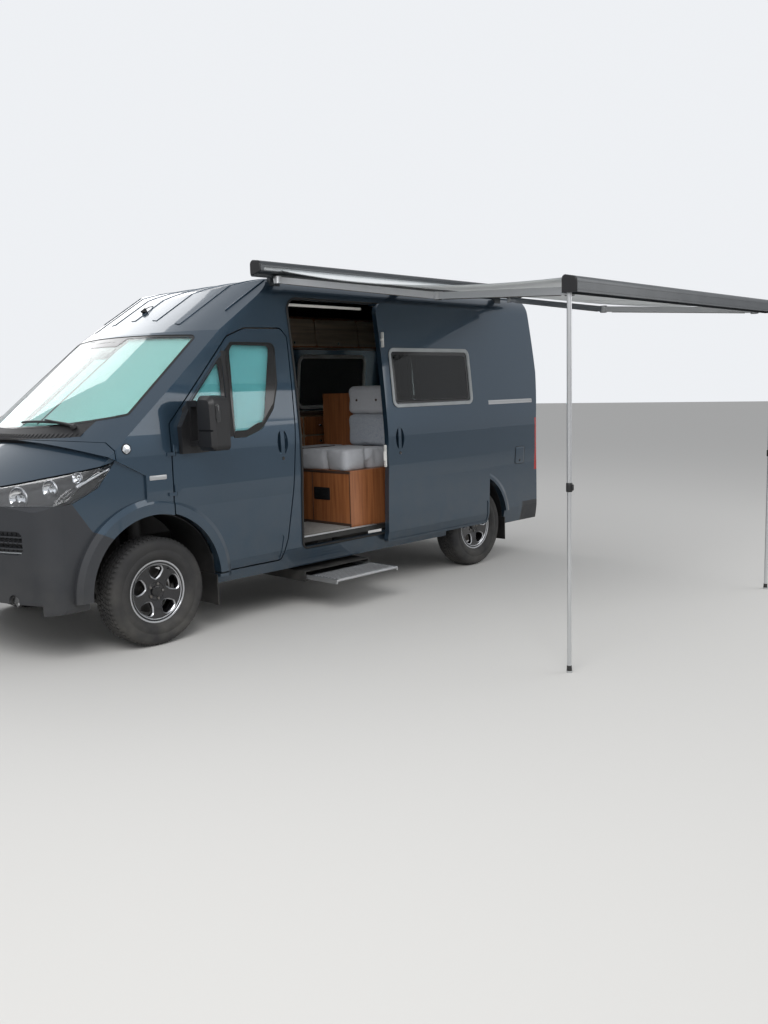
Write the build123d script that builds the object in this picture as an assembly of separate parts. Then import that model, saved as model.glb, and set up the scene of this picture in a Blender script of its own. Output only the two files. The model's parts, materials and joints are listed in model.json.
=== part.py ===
"""High-roof camper van with a side awning, written as one STEP file per piece.

Frame while modelling: x runs rearward from the front axle, y to the right, z up from the ground.
All sizes are in millimetres. The finished pieces are moved together so that the origin lies on the
ground under the middle of the whole object.
"""
from build123d import *
import os
from math import asin, atan2, cos, sin, tan

# Overall body
wheelbase = 3450
front_overhang = 948
rear_overhang = 1015
rear_x = wheelbase + rear_overhang
roof_height = 2524
body_half = 1024
wall = 45
glass_thickness = 6
glass_depth = 4
blind_depth, blind_thickness = 32, 4
fit_gap = 0.3
swing_gap = 10
panel_gap = 6
pin_radius, barrel_radius, pin_clear = 5, 8, 0.05
cab_hinge_x, cab_hinge_y = 160, -1027
rear_hinge_x, rear_hinge_y = rear_x - 3, -773

# Body section seen from the front: half width at a height
sill_half, sill_z = 965, 330
rocker_half, rocker_z = 1004, 480
waist_half, waist_z = 1016, 900
swage_z = 1030
belt_half, belt_z = 1012, 1440
side_bulge_half, side_bulge_z = 968, 1890
eave_half, eave_z = 908, 2330
shoulder_half, shoulder_z = 845, 2448
gutter_half, gutter_z = 740, 2500

# Side view: windscreen, roof cap and rear
screen_foot_x, screen_foot_z = -450, 1440
screen_top_x, screen_top_z = 385, 2090
cap_x, cap_z = 760, 2330
cap_top_z = cap_z + 14
crown_x = 1560
cap_mid_x, cap_mid_z = 1110, 2462
tail_roof_x = rear_x - 190
tail_shoulder_x, tail_shoulder_z = rear_x - 62, 2440
tail_belt_z = 1440
firewall_x, firewall_thick = -60, 35
screen_half, screen_bow = 912, 320
screen_clear = 60
cap_half, cap_bow = 812, 190
tail_corner = 95

# Nose
nose_half, nose_bow = 965, 205
nose_corner = 190
nose_side_x = 250
bonnet_lip_x, bonnet_lip_z = -850, 1110
bonnet_rise = 0.725
bonnet_rise_run = 400
bonnet_crown_half, bonnet_crown_drop = 900, 200
bonnet_side_x = -270
latch_x, latch_half = -775, 60
pocket_depth, slat_depth, slat_height = 38, 27, 9
fog_y, fog_z, fog_radius = 700, 410, 42
strip_depth, strip_z0, strip_z1 = 6, 412, 602
rib_height, rib_half, rib_x0, rib_x1 = 5, 26, 560, 4180
vent_x, vent_size, vent_margin = 3000, 400, 90
cup_half, cup_high, cup_depth = 50, 92, 22

# Wheels
tyre_radius = 362
tyre_width = 225
track_half = 905
rear_track_half = 885
rim_radius = 219
arch_radius = 485
arch_z = 395
rear_arch_radius = 430
arch_depth_half = 590
rear_arch_half = 640
flare_width, flare_bevel, flare_half = 108, 36, 1028
rear_flare_width, rear_flare_half = 64, 1021
flare_low_z, rear_flare_low_z = 384, 462
tyre_facets = 56

# Floor and openings
floor_z = 540
floor_thick = 40
step_sill_z = 478
side_open_x0, side_open_x1 = 1290, 2655
side_open_top = 2330
slide_travel = 865
slide_out = 75
rear_door_half, rear_door_z0, rear_door_z1 = 781, 560, 2350

# Awning
awning_x0, awning_length = 930, 3250
case_depth, case_height = 118, 118
case_z = 2462
case_y = -952
lead_y, lead_z = -3402, 2150
lead_depth, lead_height = 90, 104
lead_inset = 190
leg_tube, leg_wall = 28, 1.8
leg_spacing = 42
leg_foot_radius, leg_overlap = 17, 120
leg_split_z = 1050
cloth_sag, cloth_thick = 70, 6
roll_radius = 30
elbow_radius, elbow_height = 30, 50
arm_mid_z = 2255

# Chassis and running gear
rail_inner, rail_width, rail_z = 380, 80, 412
shelf_z = 1000
apron_y = 500
steer_y = 745
arm_z = 215
ball_radius = 14
spindle_radius = 29.95
hub_bore = 30
strut_radius, spring_radius = 24, 42
liner_low_z = 360
flap_inner, flap_low_z = 775, 185
exhaust_y, exhaust_z = 560, 330
spokes = 5

# Living space and step
drive_y = 430
bench_z, pad_thick, bench_back_z = 1000, 170, 1680
table_z, kitchen_z, bed_z = 1240, 1420, 900
slide_rail_z, slide_rail_depth = 1480, 16
slide_rail_x0, slide_rail_x1 = 2700, 4330
rail_slot_low, rail_slot_height, rail_slot_y = 12, 14, 1003
step_x0, step_x1 = 1290, 1960
step_outer_y, step_z = -1350, 262
step_tread, step_runner = 300, 330
step_mouth_y, step_case_depth = -1020, 620

os.makedirs("parts", exist_ok=True)
pieces = {}
far = 6000
left_side = (-1200, -700)


def box(x0, x1, y0, y1, z0, z1):
    """Block between two corners."""
    return Pos((x0 + x1) / 2, (y0 + y1) / 2, (z0 + z1) / 2) * Box(x1 - x0, y1 - y0, z1 - z0)


def both_sides(shape):
    """The shape and its mirror image across the middle of the van."""
    return [shape, mirror(shape, about=Plane.XZ)]


def rounded(rows):
    """Flat closed outline from rows of (across, up, corner radius)."""
    face = make_face(Polyline(*[(a, b) for a, b, r in rows], close=True))
    for a, b, r in rows:
        if r:
            corner = face.vertices().sort_by_distance((a, b, 0))[0]
            face = fillet(corner, r)
    return face


def side_prism(outline, y0, y1):
    """Outline drawn in the side view (x, z), run from y0 to y1."""
    return extrude(Plane.XZ.offset(-y1) * outline, amount=y1 - y0)


def front_prism(outline, x0, x1):
    """Outline drawn in the front view (y, z), run from x0 to x1."""
    return extrude(Plane.YZ.offset(x0) * outline, amount=x1 - x0)


def plan_prism(outline, z0, z1):
    """Outline drawn from above (x, y), run from z0 to z1."""
    return extrude(Plane.XY.offset(z0) * outline, amount=z1 - z0)


def rod(x, y0, y1, z, radius):
    """Round bar along y."""
    return side_prism(Pos(x, z) * Circle(radius), y0, y1)


def body_section(inset):
    """Closed outline of the body seen from the front, set in all round."""
    half = Polyline((0, sill_z), (sill_half, sill_z), (rocker_half, rocker_z), (waist_half, waist_z))
    half += ThreePointArc((waist_half, waist_z), (body_half, swage_z), (belt_half, belt_z))
    half += ThreePointArc((belt_half, belt_z), (side_bulge_half, side_bulge_z), (eave_half, eave_z))
    half += ThreePointArc((eave_half, eave_z), (shoulder_half, shoulder_z), (gutter_half, gutter_z))
    crown = ThreePointArc((gutter_half, gutter_z), (0, roof_height), (-gutter_half, gutter_z))
    face = make_face(half + crown + mirror(half, about=Plane.YZ))
    return offset(face, amount=-inset, kind=Kind.INTERSECTION) if inset else face


def bow_face(front_x, half, bow, reach):
    """Area behind a bowed front edge seen from above."""
    edge = ThreePointArc((front_x + bow, -half), (front_x, 0), (front_x + bow, half))
    tangent_turn = asin(half / ((half**2 + bow**2) / (2 * bow)))
    side = 250
    run = side * tan(tangent_turn)
    rest = Polyline((front_x + bow, half), (front_x + bow + run, half + side), (reach, half + side),
                    (reach, -half - side), (front_x + bow + run, -half - side), (front_x + bow, -half))
    return make_face(edge + rest)


def bowed_front(inset):
    """Space behind the bowed windscreen and roof cap, set in by inset."""
    screen_rise = (screen_top_z - screen_foot_z) / (screen_top_x - screen_foot_x)
    cap_rise = (cap_z - screen_top_z) / (cap_x - screen_top_x)
    screen_x = screen_top_x + inset / sin(atan2(screen_rise, 1))
    cap_base_x = screen_top_x + inset / sin(atan2(cap_rise, 1))
    crease = (cap_base_x - screen_x) / (1 / screen_rise - 1 / cap_rise)
    low, high = -200, 2700
    levels = [(low, screen_x + (low - screen_top_z) / screen_rise, screen_half, screen_bow),
              (screen_top_z + crease, screen_x + crease / screen_rise, cap_half, cap_bow),
              (high, cap_base_x + (high - screen_top_z) / cap_rise, cap_half, cap_bow)]
    faces = [Plane.XY.offset(z) * bow_face(x, half, bow, rear_x + 3000) for z, x, half, bow in levels]
    return loft(faces, ruled=True)


def living_envelope(inset):
    """Cab and load space as one solid, set in by inset."""
    clear = screen_foot_x - screen_clear
    side = Polyline((firewall_x, sill_z), (firewall_x, screen_foot_z - 300), (clear, screen_foot_z - 60),
                    (clear, screen_foot_z), (screen_top_x - screen_clear, screen_top_z), (cap_x, cap_top_z))
    side += ThreePointArc((cap_x, cap_top_z), (cap_mid_x, cap_mid_z), (crown_x, roof_height))
    side += Line((crown_x, roof_height), (tail_roof_x, roof_height))
    tail_mid = (tail_shoulder_x - 30, roof_height - 24)
    side += ThreePointArc((tail_roof_x, roof_height), tail_mid, (tail_shoulder_x, tail_shoulder_z))
    side += Polyline((tail_shoulder_x, tail_shoulder_z), (rear_x - 15, tail_belt_z), (rear_x - 15, sill_z),
                     (firewall_x, sill_z))
    outline = make_face(side)
    if inset:
        outline = offset(outline, amount=-inset, kind=Kind.INTERSECTION)
    solid = side_prism(outline, -body_half - 50, body_half + 50)
    solid &= front_prism(body_section(inset), -2000, rear_x + 500)
    solid &= bowed_front(inset)
    tail = Pos((rear_x - 15 - inset) / 2, 0) * Rectangle(rear_x - 15 - inset, 2 * (body_half - inset))
    tail = fillet(tail.vertices().group_by(Axis.X)[-1], tail_corner)
    tail += Pos(-1000, 0) * Rectangle(2100, 2 * (body_half - inset))
    return solid & plan_prism(tail, 0, 2700)


def nose_envelope(inset):
    """Engine bay with wings, bonnet and bumper as one solid, set in by inset."""
    back_x, high_z = nose_side_x + 900, bonnet_lip_z + 2 * bonnet_rise_run
    front = Polyline((back_x, sill_z), (-front_overhang + 90, sill_z), (-front_overhang + 14, 470),
                     (-front_overhang, 650), (-front_overhang + 24, 900), (-front_overhang + 48, 1020),
                     (bonnet_lip_x, bonnet_lip_z), (bonnet_lip_x + bonnet_rise_run, high_z),
                     (back_x, high_z), (back_x, sill_z))
    outline = make_face(front)
    if inset:
        outline = offset(outline, amount=-inset, kind=Kind.INTERSECTION)
    solid = side_prism(outline, -body_half - 50, body_half + 50)
    front_edge_x = -front_overhang + nose_bow
    edge = ThreePointArc((front_edge_x, -nose_half), (-front_overhang, 0), (front_edge_x, nose_half))
    rest = Polyline((front_edge_x, nose_half), (nose_side_x, body_half), (nose_side_x + 900, body_half),
                    (nose_side_x + 900, -body_half), (nose_side_x, -body_half), (front_edge_x, -nose_half))
    plan = make_face(edge + rest)
    plan = fillet(plan.vertices().group_by(Axis.X)[0], nose_corner)
    if inset:
        plan = offset(plan, amount=-inset, kind=Kind.INTERSECTION)
    solid &= plan_prism(plan, 0, 2000)
    solid &= front_prism(body_section(inset), -2000, nose_side_x + 900)
    slope = atan2(bonnet_rise, 1)
    crown_radius = (bonnet_crown_half**2 + bonnet_crown_drop**2) / (2 * bonnet_crown_drop)
    reach = 1200
    drop = crown_radius - (crown_radius**2 - reach**2) ** 0.5
    arc = ThreePointArc((-reach, -drop), (0, 0), (reach, -drop))
    under = Polyline((reach, -drop), (reach, -2500), (-reach, -2500), (-reach, -drop))
    crown_face = Plane.YZ.offset(bonnet_lip_x - 400) * make_face(arc + under)
    lift = bonnet_lip_z - 400 * bonnet_rise - inset / cos(slope)
    run = Vector(1, 0, bonnet_rise) * 1800
    solid &= extrude(Pos(0, 0, lift) * crown_face, amount=run.length, dir=run)
    return solid


def envelope(inset):
    """Outer form of the whole van body, set in by inset."""
    return living_envelope(inset) + nose_envelope(inset)


def slope_plane():
    """Plane that lies on the windscreen at the middle, y across and up the slope."""
    rise = Vector(screen_top_x - screen_foot_x, 0, screen_top_z - screen_foot_z).normalized()
    outward = Vector(0, 1, 0).cross(rise)
    return Plane(origin=(screen_foot_x, 0, screen_foot_z), x_dir=(0, 1, 0), z_dir=outward)


def slope_prism(outline, below, above):
    """Outline drawn on the windscreen slope, run through the skin."""
    plane = slope_plane()
    return extrude(plane.offset(-below) * outline, amount=below + above)


def bowed_band(half_low, side_low, mid_low, half_high, side_high, mid_high, corner, inset=0.0):
    """Area on the windscreen slope between two bowed edges, set in all round."""
    half_low, half_high = half_low - inset, half_high - inset
    side_low, mid_low = side_low + inset, mid_low + inset
    side_high, mid_high = side_high - inset, mid_high - inset
    low = ThreePointArc((-half_low, side_low), (0, mid_low), (half_low, side_low))
    high = ThreePointArc((half_high, side_high), (0, mid_high), (-half_high, side_high))
    right = Line((half_low, side_low), (half_high, side_high))
    left = Line((-half_high, side_high), (-half_low, side_low))
    face = make_face(low + right + high + left)
    return fillet(face.vertices(), corner) if corner else face


def grown(outline, amount):
    """Outline made larger or smaller all round."""
    return offset(outline, amount=amount, kind=Kind.ARC)


def flare(centre_x, inner_radius, width, half, low_z):
    """Raised band round a wheel arch on the left side, bevelled down to the body, from a level up."""
    root = waist_half - wall + 4
    band = [(inner_radius, root), (inner_radius, half), (inner_radius + width - flare_bevel, half),
            (inner_radius + width, waist_half - 6), (inner_radius + width, root)]
    ring = revolve(make_face(Polyline(*band, close=True)), Axis.Y)
    ring &= box(-far, far, root, half + 10, low_z - arch_z, far)
    return mirror(Pos(centre_x, 0, arch_z) * ring, about=Plane.XZ)


def handle_cup(x, z):
    """Hollow for the fingers and the upright grip that bridges it, on the left side."""
    hollow = side_prism(Pos(x, z) * Ellipse(cup_half, cup_high), *left_side)
    grip = side_prism(rounded([(x - 17, z - cup_high - 4, 12), (x + 17, z - cup_high - 4, 12),
                               (x + 17, z + cup_high + 4, 12), (x - 17, z + cup_high + 4, 12)]), *left_side)
    return cup_layer & hollow, grip_layer & grip


def pocket(y0, y1, z0, z1, slats, corner):
    """Recess in the nose with level slats, between two distances from the middle."""
    view = rounded([(y0, z0, corner), (y1, z0, corner), (y1, z1, corner), (y0, z1, corner)])
    recess = front_prism(view, -far, -500) & pocket_layer
    bars = None
    for row in range(slats):
        level = z0 + (z1 - z0) * (row + 1) / (slats + 1)
        bar = box(-far, -500, y0 - 2, y1 + 2, level - slat_height / 2, level + slat_height / 2)
        bar &= slat_layer
        bars = bar if bars is None else bars + bar
    return recess, bars


def mirrored(name, shape):
    """Store a left piece and its right twin."""
    pieces[name + "_left"] = shape
    pieces[name + "_right"] = mirror(shape, about=Plane.XZ)


def hinge_pair(depth):
    """Fixed and moving half of one hinge, the door lying along +x and the inside of the van along +y."""
    pin = Cylinder(pin_radius, 72)
    fixed = pin + Pos(0, 0, -24) * Cylinder(barrel_radius, 22) + box(-14, 0, -5, 5, -35, -13)
    fixed += box(-56, -13, -5, depth, -35, -13)
    moving = Pos(0, 0, 10) * Cylinder(barrel_radius, 44) + box(0, 36, -5, depth, -12, 32)
    moving -= Cylinder(pin_radius + pin_clear, 80)
    return fixed, moving


def hinges(x, y, turn, levels, depth):
    """Fixed halves, moving halves, and the notches and bores that they need in the door."""
    fixed, moving = hinge_pair(depth)
    places = [Pos(x, y, z) * Rot(0, 0, turn) for z in levels]
    notch = Pos(0, 0, -24) * Cylinder(barrel_radius + 8, 28)
    bore = Cylinder(pin_radius + pin_clear, 80)
    return [Compound([place * shape for place in places]) for shape in (fixed, moving, notch, bore)]


outer = envelope(0)
inner = envelope(wall)
under = box(-far, far, -sill_half + wall + 15, sill_half - wall - 15, 0, sill_z + wall + 20)
skin = outer - inner - under
pocket_layer = outer - nose_envelope(pocket_depth) - living_envelope(pocket_depth)
slat_layer = nose_envelope(pocket_depth - slat_depth) - nose_envelope(pocket_depth + 3)
cup_layer = outer - living_envelope(cup_depth)
grip_layer = outer - living_envelope(cup_depth / 2)
strip_layer = outer - living_envelope(strip_depth)
glass = living_envelope(glass_depth) - living_envelope(glass_depth + glass_thickness)
blind = living_envelope(blind_depth) - living_envelope(blind_depth + blind_thickness)

# Wheel arches
front_arch = rod(0, arch_depth_half, body_half + 100, arch_z, arch_radius)
rear_arch = rod(wheelbase, rear_arch_half, body_half + 100, arch_z, rear_arch_radius)
arches = both_sides(front_arch) + both_sides(rear_arch)
for band in (flare(0, arch_radius, flare_width, flare_half, flare_low_z),
             flare(wheelbase, rear_arch_radius, rear_flare_width, rear_flare_half, rear_flare_low_z)):
    for shape in both_sides(band):
        skin += shape
for arch in arches:
    skin -= arch

# Windscreen, cowl and bonnet lie on one slope
screen_edges = (898, 345, 14, 826, 1165, 1040, 45)
screen_slot = slope_prism(bowed_band(*screen_edges), 300, 200)
pieces["windscreen"] = glass & slope_prism(bowed_band(*screen_edges, fit_gap), 300, 200)
blind_face = bowed_band(*screen_edges, fit_gap)
blind_parts = (slope_prism(blind_face, 300, 200) & blind) - box(-far, far, -9, 9, 0, far)
pieces["windscreen_blind"] = Compound(blind_parts.solids().sort_by(SortBy.VOLUME)[-2:])
skin -= screen_slot

bonnet_edge = [(bonnet_side_x + 6, 1240), (-610, 1152), (-1100, 1010)]
bonnet_view = make_face(Polyline(*bonnet_edge, (-1100, 3000), (bonnet_side_x, 3000), (bonnet_side_x, 1300),
                                 close=True))
bonnet_back_edges = (1500, -2500, -2600, 1500, 440, -88, 0)
bonnet_tool = side_prism(grown(bonnet_view, -panel_gap), -1100, 1100)
bonnet_tool &= slope_prism(bowed_band(*bonnet_back_edges, panel_gap), 400, 400)
bonnet_slot = side_prism(bonnet_view, -1100, 1100) & slope_prism(bowed_band(*bonnet_back_edges), 400, 400)
nose_zone = box(-far, 140, -1100, 1100, 0, 1700)
pieces["bonnet"] = skin & bonnet_tool & nose_zone
skin -= bonnet_slot

cowl_face = bowed_band(846, 132, -94, 846, 345, 30, 0)
cowl_slot = slope_prism(cowl_face, 200, 100)
pieces["cowl"] = skin & cowl_slot
skin -= cowl_slot

# Headlamps and bumper, bounded in the side view
bumper_view = make_face(Polyline((-far, 996), (-1100, 996), (-560, 1004), (-440, 820), (-320, 762),
                                 (-300, 100), (-far, 100), close=True))
lamp_view = make_face(Polyline(*bonnet_edge, (-1100, 996), (-560, 1004), (-380, 1090), close=True))
lamp_slot = side_prism(lamp_view, -1100, -430)
headlamp = skin & side_prism(grown(lamp_view, -2), -1100, -430)
pieces["headlamps"] = Compound([headlamp, mirror(headlamp, about=Plane.XZ)])
for slot in both_sides(lamp_slot):
    skin -= slot
pocket_rows = [(-330, 330, 800, 935, 3, 30), (-430, 430, 470, 600, 2, 30),
               (470, 800, 705, 850, 3, 40), (-800, -470, 705, 850, 3, 40)]
for row in pocket_rows:
    recess, bars = pocket(*row)
    skin = (skin - recess) + bars
for fog in both_sides(front_prism(Pos(-fog_y, fog_z) * Circle(fog_radius), -far, -500)):
    skin -= fog & pocket_layer
bumper_zone = side_prism(bumper_view, -1100, 1100) + box(-far, -600, -430, 430, 900, 1300)
front_bumper = skin & bumper_zone
latch = box(-far, latch_x + 30, -latch_half, latch_half, 900, 930) & envelope(wall - 2)
latch += box(latch_x, latch_x + 30, -latch_half, latch_half, 900, 1400) & envelope(wall + fit_gap)
front_bumper += latch
skin -= bumper_zone

# Roof above its seam
roof_seam = [(-200, 2075), (560, 2075), (900, 2185), (1320, 2420), (1450, 2440), (far, 2440)]
roof_zone = side_prism(make_face(Polyline(*roof_seam, (far, 3000), (-200, 3000), close=True)), -1200, 1200)
ribs = None
for rib_y in (-560, -280, 0, 280, 560):
    bar = box(rib_x0, rib_x1, rib_y - rib_half, rib_y + rib_half, 2150, 2700)
    ribs = bar if ribs is None else ribs + bar
vent_half = vent_size / 2
ribs -= box(vent_x - vent_margin, vent_x + vent_size + vent_margin, -vent_half - vent_margin,
            vent_half + vent_margin, 0, far)
ribs &= living_envelope(-rib_height) - living_envelope(3)
skin += ribs
vent_slot = box(vent_x, vent_x + vent_size, -vent_half, vent_half, 2400, 2600)
high_roof = (skin & roof_zone) - vent_slot
skin -= roof_zone

# Cab doors: columns are x, z, corner radius
cab_door_rows = [(140, 405, 0), (140, 1465, 40), (690, 2050, 90), (860, 2112, 120), (1195, 2118, 50),
                 (1252, 2050, 0), (1242, 1400, 0), (1200, 900, 0), (1140, 560, 0), (1075, 405, 40)]
quarter_rows = [(278, 1392, 18), (628, 1348, 12), (628, 1925, 18), (278, 1545, 30)]
main_rows = [(664, 1338, 12), (780, 1340, 60), (925, 1390, 60), (1048, 1530, 70), (1105, 1700, 90),
             (1122, 2008, 50), (718, 2008, 20), (664, 1952, 10)]
cab_view = rounded(cab_door_rows)
cab_slot = side_prism(cab_view, *left_side)
cab_door = (skin & side_prism(grown(cab_view, -swing_gap), *left_side))
cab_door -= rod(0, -1200, -500, arch_z, arch_radius + swing_gap)
cab_glass = None
cab_blind = None
for rows in (quarter_rows, main_rows):
    view = rounded(rows)
    cab_door -= side_prism(view, *left_side)
    pane = glass & side_prism(grown(view, -fit_gap), *left_side)
    shade = blind & side_prism(grown(view, -fit_gap), *left_side)
    cab_glass = pane if cab_glass is None else Compound([cab_glass, pane])
    cab_blind = shade if cab_blind is None else Compound([cab_blind, shade])
cab_fixed, cab_moving, cab_notch, cab_bore = hinges(cab_hinge_x, cab_hinge_y, 0, (1025, 1290), 30)
cup, grip = handle_cup(1105, 1285)
cab_door = (cab_door - cup) + grip
cab_strip = rounded([(745, strip_z0, 20), (1058, strip_z0, 20), (1100, strip_z1, 25), (745, strip_z1, 25)])
cab_door -= strip_layer & side_prism(cab_strip, *left_side)
mirrored("cab_door", cab_door - cab_notch + cab_moving - cab_bore)
mirrored("cab_door_glass", cab_glass)
mirrored("cab_door_blind", cab_blind)
for slot in both_sides(cab_slot):
    skin -= slot

# Sliding door, standing open along the left side
side_open_view = rounded([(side_open_x0, step_sill_z, 30), (side_open_x1, step_sill_z, 30),
                          (side_open_x1, side_open_top, 90), (side_open_x0, side_open_top, 90)])
slide_x0, slide_x1, slide_top = side_open_x0 + panel_gap, side_open_x1 + 10, side_open_top + 8
slide_view = rounded([(slide_x0, 392, 40), (slide_x1, 392, 40), (slide_x1, slide_top, 90),
                      (slide_x0, slide_top, 90)])
slide_window = rounded([(1385, 1500, 55), (2425, 1500, 55), (2425, 1975, 55), (1385, 1975, 55)])
slide_panel = (outer - inner) & side_prism(slide_view, *left_side)
slide_panel -= side_prism(slide_window, *left_side)
cup, grip = handle_cup(1435, 1245)
slide_panel = (slide_panel - cup) + grip
strip_x0, strip_x1 = side_open_x0 + 30, side_open_x1 - 10
slide_strip = rounded([(strip_x0, strip_z0, 20), (strip_x1, strip_z0, 20), (strip_x1, strip_z1, 20),
                       (strip_x0, strip_z1, 20)])
slide_panel -= strip_layer & side_prism(slide_strip, *left_side)
slide_shift = Pos(slide_travel, -slide_out, 0)
door_open = slide_shift * slide_panel
door_inner_y = -belt_half - slide_out + wall
roller_z = slide_rail_z + rail_slot_low
door_open += box(3420, 3500, door_inner_y - 6, -rail_slot_y - fit_gap, roller_z + fit_gap,
                 roller_z + rail_slot_height - fit_gap)
door_open += box(2190, 2270, -1045, -965, step_sill_z + fit_gap, step_sill_z + 10)
door_open += box(2190, 2270, -955, -885, side_open_top - 12, side_open_top - fit_gap)
pieces["sliding_door"] = door_open
slide_pane = glass & side_prism(grown(slide_window, -fit_gap), *left_side)
skin -= side_prism(side_open_view, *left_side)

# Windows of the living space: side, x0, x1, z0, z1
window_rows = [("right", 1500, 2300, 1500, 1975), ("right", 3050, 3950, 1500, 1975)]
panes = [slide_shift * slide_pane]
for side, x0, x1, z0, z1 in window_rows:
    view = rounded([(x0, z0, 55), (x1, z0, 55), (x1, z1, 55), (x0, z1, 55)])
    skin -= side_prism(view, 700, 1200)
    panes.append(glass & side_prism(grown(view, -fit_gap), 700, 1200))
pieces["side_windows"] = Compound(panes)

# Rear doors with their windows
rear_view = rounded([(-rear_door_half, rear_door_z0, 25), (-4, rear_door_z0, 0), (-4, rear_door_z1, 0),
                     (-rear_door_half, rear_door_z1, 90)])
rear_pane_view = rounded([(-rear_door_half + 110, 1480, 50), (-110, 1480, 50), (-110, 2020, 50),
                          (-rear_door_half + 110, 2020, 50)])
rear_run = (rear_x - 250, rear_x + 100)
rear_door = skin & front_prism(grown(rear_view, -swing_gap / 2), *rear_run)
rear_door -= front_prism(rear_pane_view, *rear_run)
rear_levels = (760, 1400, 2140)
rear_fixed, rear_moving, rear_notch, rear_bore = hinges(rear_hinge_x, rear_hinge_y, 90, rear_levels, 50)
mirrored("rear_door", rear_door - rear_notch + rear_moving - rear_bore)
mirrored("rear_door_glass", glass & front_prism(grown(rear_pane_view, -fit_gap), *rear_run))
rear_open = rounded([(-rear_door_half, rear_door_z0, 25), (rear_door_half, rear_door_z0, 25),
                     (rear_door_half, rear_door_z1, 90), (-rear_door_half, rear_door_z1, 90)])
skin -= front_prism(grown(rear_open, swing_gap / 2), *rear_run)

# Tail lamps and rear bumper
lamp_zones = [box(rear_x - 110, rear_x + 50, a, b, 820, 1330) for a, b in ((830, 1100), (-1100, -830))]
pieces["tail_lamps"] = Compound([skin & zone for zone in lamp_zones])
for zone in lamp_zones:
    skin -= zone
rear_bumper_zone = box(rear_x - 300, rear_x + 50, -1100, 1100, 0, 520)
pieces["bumpers"] = Compound([front_bumper, skin & rear_bumper_zone])
skin -= rear_bumper_zone

# Wings ahead of the cab doors, side walls behind them
wing_zone = box(-far, 140, -1100, 1100, 0, 1400)
wings = skin & wing_zone
skin -= wing_zone
for hinge_half in both_sides(cab_fixed):
    wings += hinge_half
pieces["wings"] = wings
for hinge_half in both_sides(rear_fixed):
    skin += hinge_half
pieces["side_wall_left"] = skin & box(-far, far, -1200, 0, 0, 3000)
pieces["side_wall_right"] = skin & box(-far, far, 0, 1200, 0, 3000)

# Floor with firewall and two long rails, cut round the wheel arches
floor = box(firewall_x, rear_x - 60, -1000, 1000, floor_z - floor_thick, floor_z)
floor += box(firewall_x, firewall_x + firewall_thick, -1000, 1000, sill_z + 90, 1280)
floor &= inner
for rail_y in (rail_inner, -rail_inner - rail_width):
    floor += box(-560, rear_x - 120, rail_y, rail_y + rail_width, rail_z, floor_z - floor_thick)
for cross_x in (700, 1900, 2750, 4150):
    floor += box(cross_x, cross_x + 70, -rail_inner, rail_inner, rail_z + 20, floor_z - floor_thick)
for arch in arches:
    floor -= arch
for tower_zone in both_sides(box(-135, 135, apron_y - 5, 900, arch_z + arch_radius - 60, shelf_z + 60)):
    floor -= tower_zone
pieces["floor_pan"] = floor

# Arch liners, mudflaps and the inner wheel boxes at the rear
liners = []
liner_rows = [(0, arch_radius, arch_depth_half), (wheelbase, rear_arch_radius, rear_arch_half)]
for centre_x, radius, inboard in liner_rows:
    ring = rod(centre_x, inboard + 2, body_half - 60, arch_z, radius - fit_gap)
    ring -= rod(centre_x, inboard - 10, body_half, arch_z, radius - 5)
    if centre_x:
        ring += rod(centre_x, inboard + 2, inboard + 6, arch_z, radius - fit_gap)
    ring -= box(-far, far, 0, 2000, -100, liner_low_z)
    if centre_x:
        ring -= rod(centre_x, 0, inboard + 20, tyre_radius, 56)
    else:
        ring -= Pos(0, steer_y, arch_z + radius) * Cylinder(spring_radius + 12, 300)
    flap_x = centre_x + radius - 14
    ring += box(flap_x, flap_x + 8, flap_inner, flap_inner + 230, flap_low_z, liner_low_z + 40)
    liners += both_sides(ring)
pieces["arch_liners"] = Compound(liners)

# Aprons that hold the strut tops, engine and front subframe
aprons = []
for shape in both_sides(box(-640, firewall_x, apron_y, apron_y + 30, rail_z, shelf_z)
                        + box(-130, 130, apron_y, 800, shelf_z, shelf_z + 14)):
    aprons.append(shape)
gearbox = box(-181, -100, -120, 120, rail_z + fit_gap, 620)
pieces["engine"] = box(-640, -180, -320, 320, 330, 860) + gearbox
subframe = box(-140, 260, -rail_inner, rail_inner, 250, 330) - box(-60, 180, -250, 250, 200, 400)
for arm_side in (-1, 1):
    arm_view = make_face(Polyline((-110, arm_side * 300), (-28, arm_side * steer_y),
                                  (28, arm_side * steer_y), (230, arm_side * 300), close=True))
    subframe += plan_prism(arm_view, arm_z, arm_z + 26)
    subframe += Pos(0, arm_side * steer_y, arm_z + 13) * Cylinder(38, 26)
    subframe += Pos(0, arm_side * steer_y, arm_z + 43) * Cylinder(ball_radius, 50)
subframe += box(100, 230, -rail_inner - rail_width, rail_inner + rail_width, 300, rail_z)
subframe += box(-140, -60, -rail_inner - rail_width, rail_inner + rail_width, 300, rail_z)
subframe -= box(-60, 100, -340, 340, 331, rail_z + 1)
pieces["front_subframe"] = Compound([subframe] + aprons)

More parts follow.
